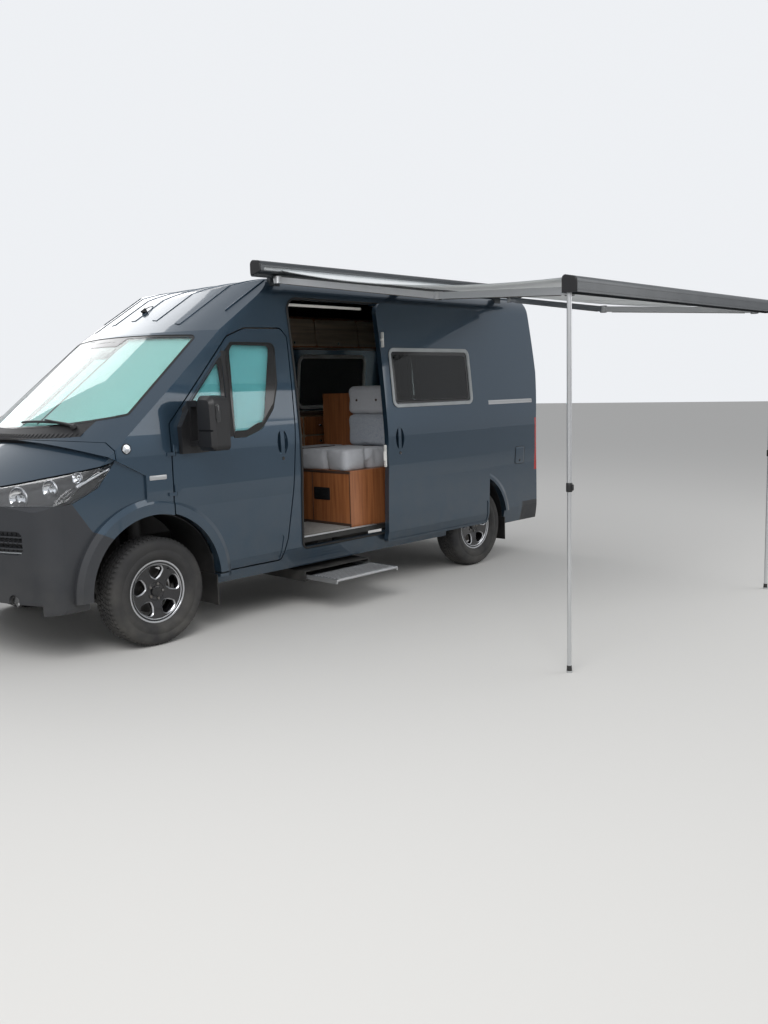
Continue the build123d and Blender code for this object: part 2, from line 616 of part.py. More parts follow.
# Rear axle with its leaf springs
axle = rod(wheelbase, -rear_track_half + 110, rear_track_half - 110, tyre_radius, 42)
axle += rod(wheelbase, -rear_track_half + 30, rear_track_half - 30, tyre_radius, spindle_radius)
for shape in both_sides(rod(wheelbase, rear_track_half - 150, rear_track_half - 112, tyre_radius, 130)):
    axle += shape
spring_z, spring_y0, spring_y1 = tyre_radius - 62, rail_inner + 5, rail_inner + 65
spring = box(wheelbase - 650, wheelbase + 650, spring_y0, spring_y1, spring_z, spring_z + 24)
spring += box(wheelbase - 70, wheelbase + 70, spring_y0 - 5, spring_y1 + 5, spring_z, spring_z + 32)
for hanger_x in (wheelbase - 650, wheelbase + 610):
    spring += box(hanger_x, hanger_x + 40, spring_y0, spring_y1, spring_z, rail_z)
for shape in both_sides(spring):
    axle += shape
pieces["rear_axle"] = axle

# Tanks and exhaust hang between the rails: columns are x0, x1, y0, y1, z0, z1
under_z = floor_z - floor_thick
tank_rows = [(850, 1650, -300, 340, 250, under_z), (2050, 2680, -330, 330, 260, under_z)]
tanks = [box(*row) for row in tank_rows]
exhaust = front_prism(Pos(exhaust_y, exhaust_z) * Circle(28), 300, 2500)
exhaust += front_prism(Pos(exhaust_y, exhaust_z) * Circle(80), 1240, 1760)
for hanger_x in (900, 2100):
    exhaust += box(hanger_x, hanger_x + 12, exhaust_y - 12, exhaust_y + 12, exhaust_z, under_z)
underfloor = tanks + [exhaust]

# Wheels: a faceted tyre and an alloy rim with five windows, hub and brake disc.
# Tyre columns are the distance from the middle plane and the radius there, outer half.
half_width = tyre_width / 2
tyre_rows = [(half_width - 26, rim_radius - 6), (half_width - 6, rim_radius + 22),
             (half_width, rim_radius + 62), (half_width - 3, tyre_radius - 34),
             (half_width - 17, tyre_radius - 9), (half_width - 38, tyre_radius)]
tyre_rows += [(-across, radius) for across, radius in reversed(tyre_rows)]
tyre_faces = []
for across, radius in tyre_rows:
    tyre_faces.append(Plane.XZ.offset(across) * RegularPolygon(radius, tyre_facets))
tyre = loft(tyre_faces, ruled=True) - rod(0, -half_width, half_width, 0, rim_radius - 8)
lip = half_width - 30.3
seat = rim_radius - 8 - fit_gap
barrel = make_face(Polyline((seat, lip), (seat, -lip), (rim_radius - 18, -lip),
                            (rim_radius - 40, -lip + 30), (rim_radius - 40, lip - 60),
                            (rim_radius - 24, lip), close=True))
rim = revolve(barrel, Axis.Y)
face_out, face_in = half_width - 36, half_width - 62
dish_edge = rim_radius - 18
dish = make_face(Polyline((hub_bore, face_out - 18), (66, face_out - 16), (dish_edge, face_out),
                          (dish_edge, face_in), (66, face_in - 10), (hub_bore, face_in - 12),
                          close=True))
rim += revolve(dish, Axis.Y)
window_outline = make_face(Polyline((76, 0), (110, 40), (158, 56), (176, 30), (176, -30), (158, -56),
                                    (110, -40), close=True))
window_cut = extrude(Plane.XZ.offset(-half_width) * window_outline, amount=tyre_width - 90)
for turn in range(spokes):
    rim -= Rot(0, 360 / spokes * turn + 90, 0) * window_cut
rim += rod(0, -20, face_in - 8, 0, 75)
rim += rod(0, -42, -20, 0, 150)
rim -= rod(0, -half_width, face_in - 8, 0, hub_bore)
rim += rod(0, face_in - 8, face_out - 8, 0, hub_bore + 6)
wheel_rows = [("front_left", 0, -track_half, 180), ("front_right", 0, track_half, 0),
              ("rear_left", wheelbase, -rear_track_half, 180),
              ("rear_right", wheelbase, rear_track_half, 0)]
for name, centre_x, centre_y, turn in wheel_rows:
    place = Pos(centre_x, centre_y, tyre_radius) * Rot(0, 0, turn)
    pieces["tyre_" + name] = place * tyre
    pieces["rim_" + name] = place * rim

# Steering knuckle with strut, caliper and spindle
upright = box(-32, 32, steer_y - 30, steer_y + 24, arm_z + 34, 470)
upright += box(-45, 45, steer_y + 4, track_half - 52, tyre_radius - 48, tyre_radius + 48)
upright += rod(0, steer_y, track_half - 8, tyre_radius, spindle_radius)
upright += Pos(0, steer_y, (450 + shelf_z) / 2) * Cylinder(strut_radius, shelf_z - 450 - fit_gap)
upright += Pos(0, steer_y, 760) * Cylinder(spring_radius, 300)
upright -= Pos(0, steer_y, arm_z + 43) * Cylinder(ball_radius + 0.05, 52)
mirrored("knuckle", mirror(upright, about=Plane.XZ))

# Cab interior: dashboard, steering wheel and seats
dash_x = firewall_x + firewall_thick + fit_gap
dash_view = rounded([(dash_x, 860, 0), (dash_x, 1330, 30), (150, 1370, 40), (330, 1330, 60),
                     (400, 1180, 60), (330, 900, 60), (120, 860, 0)])
dash = side_prism(dash_view, -930, 930) & envelope(wall + 5)
for slot in both_sides(front_arch) + both_sides(box(-200, 140, apron_y - 5, 1000, 800, shelf_z + 40)):
    dash -= slot
rim_ring = revolve(Plane.XZ * (Pos(190, 0) * RegularPolygon(15, 8)), Axis.Z)
wheel_place = Pos(480, drive_y, 1250) * Rot(0, 65, 0)
steering = wheel_place * rim_ring
steering += Pos(480, drive_y, 1250) * Rot(0, 65, 0) * Cylinder(60, 30)
for spoke in (0, 120, 240):
    steering += wheel_place * Rot(0, 0, spoke) * Pos(100, 0, 0) * Box(190, 34, 14)
steering += Pos(480, drive_y, 1250) * Rot(0, 65, 0) * Pos(0, 0, -60) * Cylinder(28, 100)
seats = []
seat_bases = []
for seat_y in (-drive_y, drive_y):
    base_row = box(620, 1000, seat_y - 190, seat_y + 190, floor_z, 830)
    seat_bases.append(base_row)
    cushion = side_prism(rounded([(560, 830, 30), (1080, 830, 30), (1080, 950, 30), (560, 970, 50)]),
                         seat_y - 240, seat_y + 240)
    back = side_prism(rounded([(1030, 935, 0), (1130, 935, 10), (1225, 1560, 40), (1135, 1580, 40)]),
                      seat_y - 230, seat_y + 230)
    head = side_prism(rounded([(1150, 1560, 10), (1215, 1552, 10), (1250, 1740, 30), (1170, 1750, 30)]),
                      seat_y - 130, seat_y + 130)
    seats.append(cushion + back + head)
pieces["cab_seats"] = Compound(seats)
pieces["cab_fittings"] = Compound([dash + steering] + seat_bases)

# Furniture of the living space
bench_x0, bench_x1, bench_y0, bench_y1 = 1890, 2520, -915, -20
bench = box(bench_x0, bench_x1, bench_y0, bench_y1, floor_z, bench_z)
bench += box(bench_x1 - 60, bench_x1, bench_y0, bench_y1, bench_z, bench_back_z - 60)
pad_x0, pad_x1, pad_top = bench_x0 - 40, bench_x1 - 60 - fit_gap, bench_z + pad_thick
seat_pad = rounded([(pad_x0, bench_z + fit_gap, 30), (pad_x1, bench_z + fit_gap, 10),
                    (pad_x1, pad_top, 20), (pad_x0, pad_top, 50)])
back_pad = rounded([(bench_x1 - 190, pad_top + fit_gap, 20), (pad_x1, pad_top + fit_gap, 20),
                    (pad_x1, bench_back_z, 40), (bench_x1 - 170, bench_back_z, 50)])
cushions = [side_prism(seat_pad, bench_y0, bench_y1), side_prism(back_pad, bench_y0, bench_y0 + 460)]
table = box(1330, 1850, 330, 900, table_z, table_z + 28)
table += Pos(1590, 600, (floor_z + table_z) / 2) * Cylinder(30, table_z - floor_z)
kitchen = box(2160, 2970, 380, 925, floor_z, kitchen_z)
kitchen += box(2140, 2990, 350, 925, kitchen_z, kitchen_z + 35)
pieces["kitchen_and_table"] = Compound([kitchen, table])
locker_view = rounded([(480, 2060, 0), (905, 2060, 0), (860, 2360, 40), (520, 2360, 60)])
locker = front_prism(locker_view, 1700, 4100) & envelope(wall + fit_gap)
lockers = [locker, box(2760, 4100, -860, -500, 2060, 2340) & envelope(wall + fit_gap)]
bed = box(3360, rear_x - 90, -900, 900, bed_z, bed_z + 30) & envelope(wall + 5)
for leg_y in (-450, 410):
    bed += box(3360, 4200, leg_y, leg_y + 40, floor_z, bed_z)
pieces["wood_furniture"] = Compound([bench, bed] + lockers)
mattress = box(3380, rear_x - 110, -890, 890, bed_z + 30 + fit_gap, bed_z + 170)
pieces["soft_furnishing"] = Compound(cushions + [mattress & envelope(wall + 8)])

# Mirrors on the cab doors
shell_view = rounded([(-1332, 1282, 36), (-1140, 1282, 30), (-1140, 1642, 40), (-1318, 1636, 60)])
mirror_shell = front_prism(shell_view, 262, 398)
mirror_shell = chamfer(mirror_shell.faces().sort_by(Axis.X)[0].outer_wire().edges(), 26)
mirror_shell -= box(250, 274, -1400, -1130, 1408, 1420)
for level in (1330, 1588):
    mirror_shell += box(270, 316, -1150, -1060, level - 17, level + 17)
mirror_shell += box(270, 316, -1082, -1050, 1313, 1605)
foot_view = make_face(Polyline((205, 1262), (420, 1262), (420, 1290), (330, 1610), (300, 1610),
                               (205, 1440), close=True))
mirror_foot = side_prism(foot_view, -1062, -960)
mirror_foot -= outer
mirrored("mirror", mirror_shell + mirror_foot.solids().sort_by(Axis.Y)[0])

# Slide rail and roller arms of the sliding door
rail_skin = outer - living_envelope(slide_rail_depth)
rail_view = rounded([(slide_rail_x0, slide_rail_z, 8), (slide_rail_x1, slide_rail_z, 8),
                     (slide_rail_x1, slide_rail_z + 38, 8), (slide_rail_x0, slide_rail_z + 38, 8)])
rail_groove = rail_skin & side_prism(rail_view, *left_side)
pieces["side_wall_left"] -= rail_groove
rail = rail_skin & side_prism(grown(rail_view, -fit_gap), *left_side)
rail -= box(slide_rail_x0 + 20, slide_rail_x1 - 20, -1100, -rail_slot_y, roller_z,
            roller_z + rail_slot_height)
pieces["slide_rail"] = rail

# Entry step slides out of its case under the opening
case_mouth_y, case_back_y = step_mouth_y, step_mouth_y + step_case_depth
step_case = box(step_x0 - 20, step_x1 + 20, case_mouth_y, case_back_y, step_z - 45, step_z + 30)
step_case -= box(step_x0 - 6, step_x1 + 6, case_mouth_y - 50, case_back_y - 6, step_z - 30 - fit_gap,
                 step_z + 24)
for hanger_x in (step_x0 + 40, step_x1 - 80):
    step_case += box(hanger_x, hanger_x + 40, -720, -690, step_z + 30, floor_z - floor_thick)
pieces["underfloor_gear"] = Compound(underfloor + [step_case])
runner_end_y = step_outer_y + step_tread + step_runner
plate = box(step_x0, step_x1, step_outer_y, step_outer_y + step_tread, step_z - 14, step_z)
for runner_x in (step_x0, step_x1 - 14):
    plate += box(runner_x, runner_x + 14, step_outer_y, runner_end_y, step_z - 30, step_z)
plate += box(step_x0, step_x1, runner_end_y - 20, runner_end_y, step_z - 30, step_z)
for rib in range(8):
    plate += box(step_x0 + 30, step_x1 - 30, step_outer_y + 20 + rib * 34, step_outer_y + 32 + rib * 34,
                 step_z, step_z + 4)
pieces["step_plate"] = plate

# Roof vent: frame on the roof and lid
lid_z = roof_height + 26
frame_ring = box(vent_x - 20, vent_x + vent_size + 20, -vent_half - 20, vent_half + 20,
                 roof_height - 20, lid_z - fit_gap)
frame_ring -= box(vent_x, vent_x + vent_size, -vent_half, vent_half, 0, far)
pieces["high_roof"] = high_roof + (frame_ring - inner)
lid = box(vent_x - 25, vent_x + vent_size + 25, -vent_size / 2 - 25, vent_size / 2 + 25, lid_z, lid_z + 34)
pieces["vent_lid"] = fillet(lid.faces().sort_by(Axis.Z)[-1].edges(), 20)

# Awning: case on the roof edge, cloth, arms, lead rail and two telescopic legs
awning_x1 = awning_x0 + awning_length
case_section = rounded([(case_y, case_z, 20), (case_y, case_z + case_height, 30),
                        (case_y - case_depth, case_z + case_height - 16, 40),
                        (case_y - case_depth, case_z + 26, 12), (case_y - case_depth + 70, case_z + 22, 4),
                        (case_y - 40, case_z, 10)])
case = front_prism(case_section, awning_x0, awning_x1)
case -= front_prism(Pos(case_y - 72, case_z + 58) * Circle(roll_radius), awning_x0 + 30, awning_x1 - 30)
case -= box(awning_x0 + 30, awning_x1 - 30, case_y - case_depth - 5, case_y - 60, case_z + 36, case_z + 62)
for bracket_x in (awning_x0 + 250, awning_x0 + awning_length / 2, awning_x1 - 250):
    bracket = box(bracket_x, bracket_x + 90, case_y, case_y + 120, case_z + 30, case_z + 44)
    bracket += box(bracket_x, bracket_x + 90, case_y + 84, case_y + 120, case_z - 100, case_z + 44)
    case += bracket - outer
pieces["awning_case"] = case.solids().sort_by(SortBy.VOLUME)[-1]

rail_x0, rail_x1 = awning_x0 + lead_inset, awning_x1 - lead_inset
lead_section = rounded([(lead_y + 10, lead_z + 40, 6), (lead_y + 10, lead_z + lead_height, 22),
                        (lead_y - lead_depth, lead_z + lead_height - 22, 30),
                        (lead_y - lead_depth, lead_z, 0), (lead_y - lead_depth + 5, lead_z, 0),
                        (lead_y - lead_depth + 5, lead_z + 40, 0)])
lead = front_prism(lead_section, rail_x0, rail_x1)
lead += box(rail_x0, rail_x1, lead_y + 5, lead_y + 10, lead_z, lead_z + 60)
for end_x in (rail_x0, rail_x1 - 4):
    lead += box(end_x, end_x + 4, lead_y - lead_depth, lead_y + 10, lead_z, lead_z + 60)
leg_rows = [("front", rail_x0 + 30, lead_y - 20), ("rear", rail_x1 - 30, lead_y - 20 - leg_spacing)]
leg_top_z = lead_z + 18
from_below = (Align.CENTER, Align.CENTER, Align.MIN)
for name, leg_x, leg_y in leg_rows:
    lead += rod(leg_x, lead_y - lead_depth + 5, lead_y + 5, leg_top_z, 4)
pieces["awning_lead_rail"] = lead
for name, leg_x, leg_y in leg_rows:
    upper = Pos(leg_x, leg_y, leg_split_z) * Cylinder(leg_tube / 2, leg_top_z - leg_split_z,
                                                     align=from_below)
    upper += rod(leg_x, leg_y - leg_tube / 2 + 3, leg_y + leg_tube / 2 - 3, leg_top_z, leg_tube / 2 + 2)
    bore_high = leg_top_z - leg_split_z - 30
    upper -= Pos(leg_x, leg_y, leg_split_z) * Cylinder(leg_tube / 2 - leg_wall, bore_high, align=from_below)
    upper -= rod(leg_x, leg_y - leg_tube, leg_y + leg_tube, leg_top_z, 4.1)
    pieces[f"awning_leg_{name}_upper"] = upper
    lower = Pos(leg_x, leg_y, 12) * Cylinder(leg_tube / 2 - leg_wall - 0.1, leg_split_z + leg_overlap,
                                             align=from_below)
    lower += Pos(leg_x, leg_y, 0) * Cylinder(leg_foot_radius, 12, align=from_below)
    pieces[f"awning_leg_{name}_lower"] = lower

cloth_y0, cloth_z0 = case_y - 96, case_z + 52
cloth_y1, cloth_z1 = lead_y + 10 + fit_gap, lead_z + lead_height - 18
cloth_mid = ((cloth_y0 + cloth_y1) / 2, (cloth_z0 + cloth_z1) / 2 - cloth_sag)
upper_edge = ThreePointArc((cloth_y0, cloth_z0), cloth_mid, (cloth_y1, cloth_z1))
lower_edge = Pos(0, -cloth_thick) * ThreePointArc((cloth_y0, cloth_z0), cloth_mid, (cloth_y1, cloth_z1))
ends = Line((cloth_y1, cloth_z1), (cloth_y1, cloth_z1 - cloth_thick))
ends += Line((cloth_y0, cloth_z0), (cloth_y0, cloth_z0 - cloth_thick))
cloth_face = make_face(upper_edge + lower_edge + ends)
roll = front_prism(Pos(case_y - 72, case_z + 58) * Circle(roll_radius - fit_gap), awning_x0 + 30 + fit_gap,
                   awning_x1 - 30 - fit_gap)
pieces["awning_cloth"] = roll + front_prism(cloth_face, rail_x0 + 10, rail_x1 - 10)

arms = []
for shoulder_x, elbow_x, wrist_x in ((awning_x0 + 200, awning_x0 + 560, awning_x0 + 320),
                                     (awning_x1 - 200, awning_x1 - 560, awning_x1 - 320)):
    joints = [(shoulder_x, case_y - 60, case_z - 14), (elbow_x, (case_y + lead_y) / 2 - 30, arm_mid_z),
              (wrist_x, lead_y + 10 + elbow_radius + fit_gap, lead_z + 22)]
    arm = None
    for (xa, ya, za), (xb, yb, zb) in zip(joints, joints[1:]):
        path = Line((xa, ya, za), (xb, yb, zb))
        level = (path % 0).cross(Vector(0, 0, 1))
        profile = Plane(origin=path @ 0, z_dir=path % 0, x_dir=level) * Rectangle(34, 44)
        bar = extrude(profile, amount=path.length)
        arm = bar if arm is None else arm + bar
    for xa, ya, za in joints:
        arm += Pos(xa, ya, za) * Cylinder(elbow_radius, elbow_height)
    arms.append(arm)
pieces["awning_arms"] = Compound(arms) - pieces["awning_case"] - pieces["awning_lead_rail"]

# Everything moves together so that the origin is under the middle of the whole object
whole = Compound([shape for shape in pieces.values()]).bounding_box()
home = Pos(-(whole.min.X + whole.max.X) / 2, -(whole.min.Y + whole.max.Y) / 2, -whole.min.Z)
print("shift", [round(v, 2) for v in home.position], "size", [round(v, 1) for v in whole.size])
for name, shape in pieces.items():
    placed = home * shape
    export_step(placed, f"parts/{name}.step")
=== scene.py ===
"""Looks for a high-roof camper van with its side awning drawn out on two legs.

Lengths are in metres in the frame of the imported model. Places on the van are written in van
coordinates, x rearward from the front axle, y to the right and z up, and Van.at moves them.
"""

import json
import logging
import math
from dataclasses import dataclass
from enum import Enum
from typing import Callable, Sequence

import bmesh
import bpy
from mathutils import Matrix, Vector
from mathutils.bvhtree import BVHTree


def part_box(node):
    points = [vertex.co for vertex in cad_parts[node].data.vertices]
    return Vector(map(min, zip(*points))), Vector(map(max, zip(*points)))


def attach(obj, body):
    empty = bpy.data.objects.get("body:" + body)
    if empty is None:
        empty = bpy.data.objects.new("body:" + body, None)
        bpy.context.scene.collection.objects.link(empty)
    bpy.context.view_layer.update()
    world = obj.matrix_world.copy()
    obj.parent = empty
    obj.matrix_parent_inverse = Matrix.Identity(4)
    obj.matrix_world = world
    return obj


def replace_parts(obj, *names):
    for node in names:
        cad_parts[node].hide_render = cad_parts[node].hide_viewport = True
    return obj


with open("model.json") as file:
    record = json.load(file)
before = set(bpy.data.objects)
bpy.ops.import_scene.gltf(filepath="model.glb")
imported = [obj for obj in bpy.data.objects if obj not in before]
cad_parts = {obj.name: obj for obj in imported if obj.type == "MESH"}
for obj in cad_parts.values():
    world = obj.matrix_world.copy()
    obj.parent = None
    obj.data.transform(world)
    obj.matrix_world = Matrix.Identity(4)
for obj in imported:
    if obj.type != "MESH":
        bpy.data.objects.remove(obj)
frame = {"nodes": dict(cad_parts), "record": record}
LOG = logging.getLogger("camper")
Socket, Tree, Node = bpy.types.NodeSocket, bpy.types.NodeTree, bpy.types.Node
Object, Mesh = bpy.types.Object, bpy.types.Mesh
Colour = tuple[float, float, float]
Point = tuple[float, float, float]
Flat = tuple[float, float]


class Side(Enum):
    """Side of the van, as the sign of y."""

    LEFT = -1
    RIGHT = 1

    @property
    def word(self) -> str:
        """Lower-case name that ends a piece or body name."""
        return self.name.lower()


class Van:
    """Places on the van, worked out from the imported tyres."""

    front_low, front_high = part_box("tyre_front_left")
    other_low, other_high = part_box("tyre_front_right")
    origin = Vector(((front_low.x + front_high.x) / 2, (front_low.y + other_high.y) / 2, 0.0))

    @classmethod
    def at(cls, x: float, y: float, z: float) -> Vector:
        """Point of the model frame for a point in van coordinates."""
        return Vector((x, y, z)) + cls.origin

    @classmethod
    def object(cls, name: str) -> Object:
        """CAD node by name."""
        return frame["nodes"][name]


class Nodes:
    """Short ways to build shader nodes in one material or group."""

    def __init__(self, tree: Tree) -> None:
        """Keep the tree that the nodes go into."""
        self.tree = tree

    def add(self, kind: str, inputs: dict | None = None, **settings: object) -> Node:
        """Make one node.

        Args:
            kind: Blender's type name of the node.
            inputs: Values or output sockets for its inputs, by name or index.
            **settings: Attributes of the node, set before its inputs.

        Returns:
            The new node.
        """
        node = self.tree.nodes.new(kind)
        for key, value in settings.items():
            setattr(node, key, value)
        for key, value in (inputs or {}).items():
            self.feed(node.inputs[key], value)
        return node

    def feed(self, socket: Socket, value: object) -> None:
        """Link an output socket to an input, or set the input's value."""
        if isinstance(value, Socket):
            self.tree.links.new(value, socket)
        else:
            socket.default_value = value

    def group(self, tree: Tree, **inputs: object) -> Node:
        """Place a node group with its inputs given by name."""
        return self.add("ShaderNodeGroup", inputs, node_tree=tree)

    def math(self, operation: str, a: object, b: object = 0.0) -> Socket:
        """Output of a Math node."""
        return self.add("ShaderNodeMath", {0: a, 1: b}, operation=operation).outputs[0]

    def ramp(self, value: Socket, low: float, high: float) -> Socket:
        """Value spread from 0 at low to 1 at high, clamped."""
        return self.add("ShaderNodeMapRange", {0: value, 1: low, 2: high}).outputs[0]

    def mix(self, factor: object, a: object, b: object) -> Socket:
        """Colour between a and b."""
        node = self.add("ShaderNodeMix", data_type="RGBA")
        for socket, value in ((node.inputs[0], factor), (node.inputs[6], a), (node.inputs[7], b)):
            self.feed(socket, (*value, 1.0) if isinstance(value, tuple) and len(value) == 3 else value)
        return node.outputs[2]


def new_group(name: str, inputs: dict[str, float], outputs: dict[str, str]) -> tuple:
    """Start a shader node group.

    Args:
        name: Name of the group.
        inputs: Float inputs with their defaults.
        outputs: Output names with their socket types.

    Returns:
        The tree, its Nodes helper, its input node and its output node.
    """
    tree = bpy.data.node_groups.new(name, "ShaderNodeTree")
    for key, value in inputs.items():
        tree.interface.new_socket(key, in_out="INPUT", socket_type="NodeSocketFloat").default_value = value
    for key, kind in outputs.items():
        tree.interface.new_socket(key, in_out="OUTPUT", socket_type=kind)
    nodes = Nodes(tree)
    return tree, nodes, nodes.add("NodeGroupInput"), nodes.add("NodeGroupOutput")


class Effects:
    """Shader groups that several finishes share."""

    def __init__(self) -> None:
        """Build each group once."""
        self.grain = self._grain()
        self.dust = self._dust()
        self.weave = self._weave()

    @staticmethod
    def _grain() -> Tree:
        """Moulded grain: fine pebbles with a slow variation."""
        tree, n, given, out = new_group("moulded_grain", {"Scale": 900.0, "Depth": 0.3},
                                        {"Height": "NodeSocketFloat", "Patch": "NodeSocketFloat"})
        place = n.add("ShaderNodeTexCoord").outputs["Object"]
        fine = n.add("ShaderNodeTexVoronoi", {"Vector": place, "Scale": given.outputs["Scale"]})
        slow = n.add("ShaderNodeTexNoise", {"Vector": place, "Scale": 2.5, "Detail": 4.0})
        height = n.math("MULTIPLY", fine.outputs["Distance"], given.outputs["Depth"])
        tree.links.new(height, out.inputs["Height"])
        tree.links.new(n.ramp(slow.outputs["Fac"], 0.35, 0.65), out.inputs["Patch"])
        return tree

    @staticmethod
    def _dust() -> Tree:
        """Road dust: thicker low down and in patches."""
        tree, n, given, out = new_group("road_dust", {"Low": 0.2, "High": 0.9, "Amount": 0.3},
                                        {"Mask": "NodeSocketFloat"})
        place = n.add("ShaderNodeTexCoord").outputs["Object"]
        height = n.add("ShaderNodeSeparateXYZ", {0: place}).outputs[2]
        fall = n.add("ShaderNodeMapRange", {0: height, 1: given.outputs["Low"], 2: given.outputs["High"],
                                            3: 1.0, 4: 0.0}).outputs[0]
        patch = n.add("ShaderNodeTexNoise", {"Vector": place, "Scale": 7.0, "Detail": 6.0}).outputs["Fac"]
        mask = n.math("MULTIPLY", n.math("MULTIPLY", fall, n.ramp(patch, 0.3, 0.8)), given.outputs["Amount"])
        tree.links.new(mask, out.inputs["Mask"])
        return tree

    @staticmethod
    def _weave() -> Tree:
        """Plain weave: warp and weft threads crossing over and under."""
        tree, n, given, out = new_group("plain_weave", {"Threads": 900.0},
                                        {"Height": "NodeSocketFloat", "Thread": "NodeSocketFloat"})
        place = n.add("ShaderNodeTexCoord").outputs["Object"]
        axes = n.add("ShaderNodeSeparateXYZ", {0: place}).outputs
        along = n.math("SINE", n.math("MULTIPLY", n.math("ADD", axes[0], axes[2]), given.outputs["Threads"]))
        across = n.math("SINE", n.math("MULTIPLY", n.math("ADD", axes[1], n.math("MULTIPLY", axes[2], 0.5)),
                                       given.outputs["Threads"]))
        height = n.math("MULTIPLY", along, across)
        speck = n.add("ShaderNodeTexNoise", {"Vector": place, "Scale": 260.0, "Detail": 3.0}).outputs["Fac"]
        tree.links.new(height, out.inputs["Height"])
        tree.links.new(n.ramp(speck, 0.35, 0.65), out.inputs["Thread"])
        return tree


EFFECTS = Effects()


@dataclass(frozen=True)
class Finish:
    """One surface finish, built as a material the first time it is used.

    Args:
        name: Name of the material.
        slot: Material slot of the record that it belongs to. Not used.
        colour: Main colour, linear.
        roughness: Mean roughness.
        metallic: How metallic the base is.
        coat: Strength of a clear coat.
        coat_roughness: Roughness of that coat.
        second: Colour that the variation moves towards.
    """

    name: str
    slot: str
    colour: Colour
    roughness: float = 0.5
    metallic: float = 0.0
    coat: float = 0.0
    coat_roughness: float = 0.05
    second: Colour | None = None

    def material(self) -> bpy.types.Material:
        """The material of this finish."""
        made = bpy.data.materials.get(self.name)
        if made:
            return made
        made = bpy.data.materials.new(self.name)
        made.use_nodes = True
        nodes = Nodes(made.node_tree)
        shader = made.node_tree.nodes["Principled BSDF"]
        shader.inputs["Metallic"].default_value = self.metallic
        shader.inputs["Coat Weight"].default_value = self.coat
        shader.inputs["Coat Roughness"].default_value = self.coat_roughness
        shader.inputs["Roughness"].default_value = self.roughness
        shader.inputs["Base Color"].default_value = (*self.colour, 1.0)
        self.dress(nodes, shader)
        return made

    def link(self, nodes: Nodes, shader: Node, name: str, value: Socket) -> None:
        """Feed one input of the shader."""
        nodes.tree.links.new(value, shader.inputs[name])

    def bump(self, nodes: Nodes, shader: Node, height: Socket, strength: float,
             distance: float = 0.001) -> None:
        """Feed the shader's normal from a height."""
        made = nodes.add("ShaderNodeBump", {"Strength": strength, "Distance": distance, "Height": height})
        self.link(nodes, shader, "Normal", made.outputs["Normal"])

    def roughen(self, nodes: Nodes, shader: Node, mask: Socket, low: float, high: float) -> None:
        """Let the roughness run from low to high with a mask."""
        spread = nodes.add("ShaderNodeMapRange", {0: mask, 3: low, 4: high})
        self.link(nodes, shader, "Roughness", spread.outputs[0])

    @staticmethod
    def place(nodes: Nodes) -> Socket:
        """Object coordinates."""
        return nodes.add("ShaderNodeTexCoord").outputs["Object"]

    def drawn(self, nodes: Nodes, axis: int, across: float, along: float) -> Socket:
        """Object coordinates scaled less along one axis than across it."""
        scale = [across] * 3
        scale[axis] = along
        return nodes.add("ShaderNodeMapping", {"Vector": self.place(nodes), "Scale": scale}).outputs[0]

    def dress(self, nodes: Nodes, shader: Node) -> None:
        """Vary colour and roughness slowly over the surface."""
        noise = nodes.add("ShaderNodeTexNoise", {"Vector": self.place(nodes), "Scale": 6.0, "Detail": 5.0})
        mask = nodes.ramp(noise.outputs["Fac"], 0.3, 0.7)
        second = self.second or tuple(c * 0.85 for c in self.colour)
        self.link(nodes, shader, "Base Color", nodes.mix(mask, self.colour, second))
        self.roughen(nodes, shader, mask, self.roughness * 0.88, self.roughness * 1.12)


@dataclass(frozen=True)
class Paint(Finish):
    """Metallic paint with flakes, orange peel and dust near the ground."""

    def dress(self, nodes: Nodes, shader: Node) -> None:
        """Add flakes, a slight ripple and road dust."""
        place = self.place(nodes)
        flake = nodes.add("ShaderNodeTexVoronoi", {"Vector": place, "Scale": 1400.0})
        bright = nodes.ramp(flake.outputs["Color"], 0.55, 1.0)
        base = nodes.mix(nodes.math("MULTIPLY", bright, 0.35), self.colour, self.second or self.colour)
        dust = nodes.group(EFFECTS.dust, Low=0.25, High=1.1, Amount=0.22).outputs["Mask"]
        self.link(nodes, shader, "Base Color", nodes.mix(dust, base, (0.16, 0.15, 0.13)))
        self.roughen(nodes, shader, dust, self.roughness, 0.7)
        ripple = nodes.add("ShaderNodeTexNoise", {"Vector": place, "Scale": 160.0, "Detail": 1.0})
        self.bump(nodes, shader, ripple.outputs["Fac"], 0.035)


@dataclass(frozen=True)
class Moulded(Finish):
    """Moulded plastic or rubber with a pebbled grain."""

    scale: float = 900.0
    depth: float = 0.35
    dusty: float = 0.25

    def dress(self, nodes: Nodes, shader: Node) -> None:
        """Add the grain, slow patches and dust."""
        grain = nodes.group(EFFECTS.grain, Scale=self.scale, Depth=1.0).outputs
        second = self.second or tuple(c * 1.35 for c in self.colour)
        base = nodes.mix(grain["Patch"], self.colour, second)
        dust = nodes.group(EFFECTS.dust, Low=0.05, High=0.8, Amount=self.dusty).outputs["Mask"]
        self.link(nodes, shader, "Base Color", nodes.mix(dust, base, (0.17, 0.16, 0.14)))
        self.roughen(nodes, shader, grain["Patch"], self.roughness * 0.9, min(1.0, self.roughness * 1.15))
        self.bump(nodes, shader, grain["Height"], self.depth)


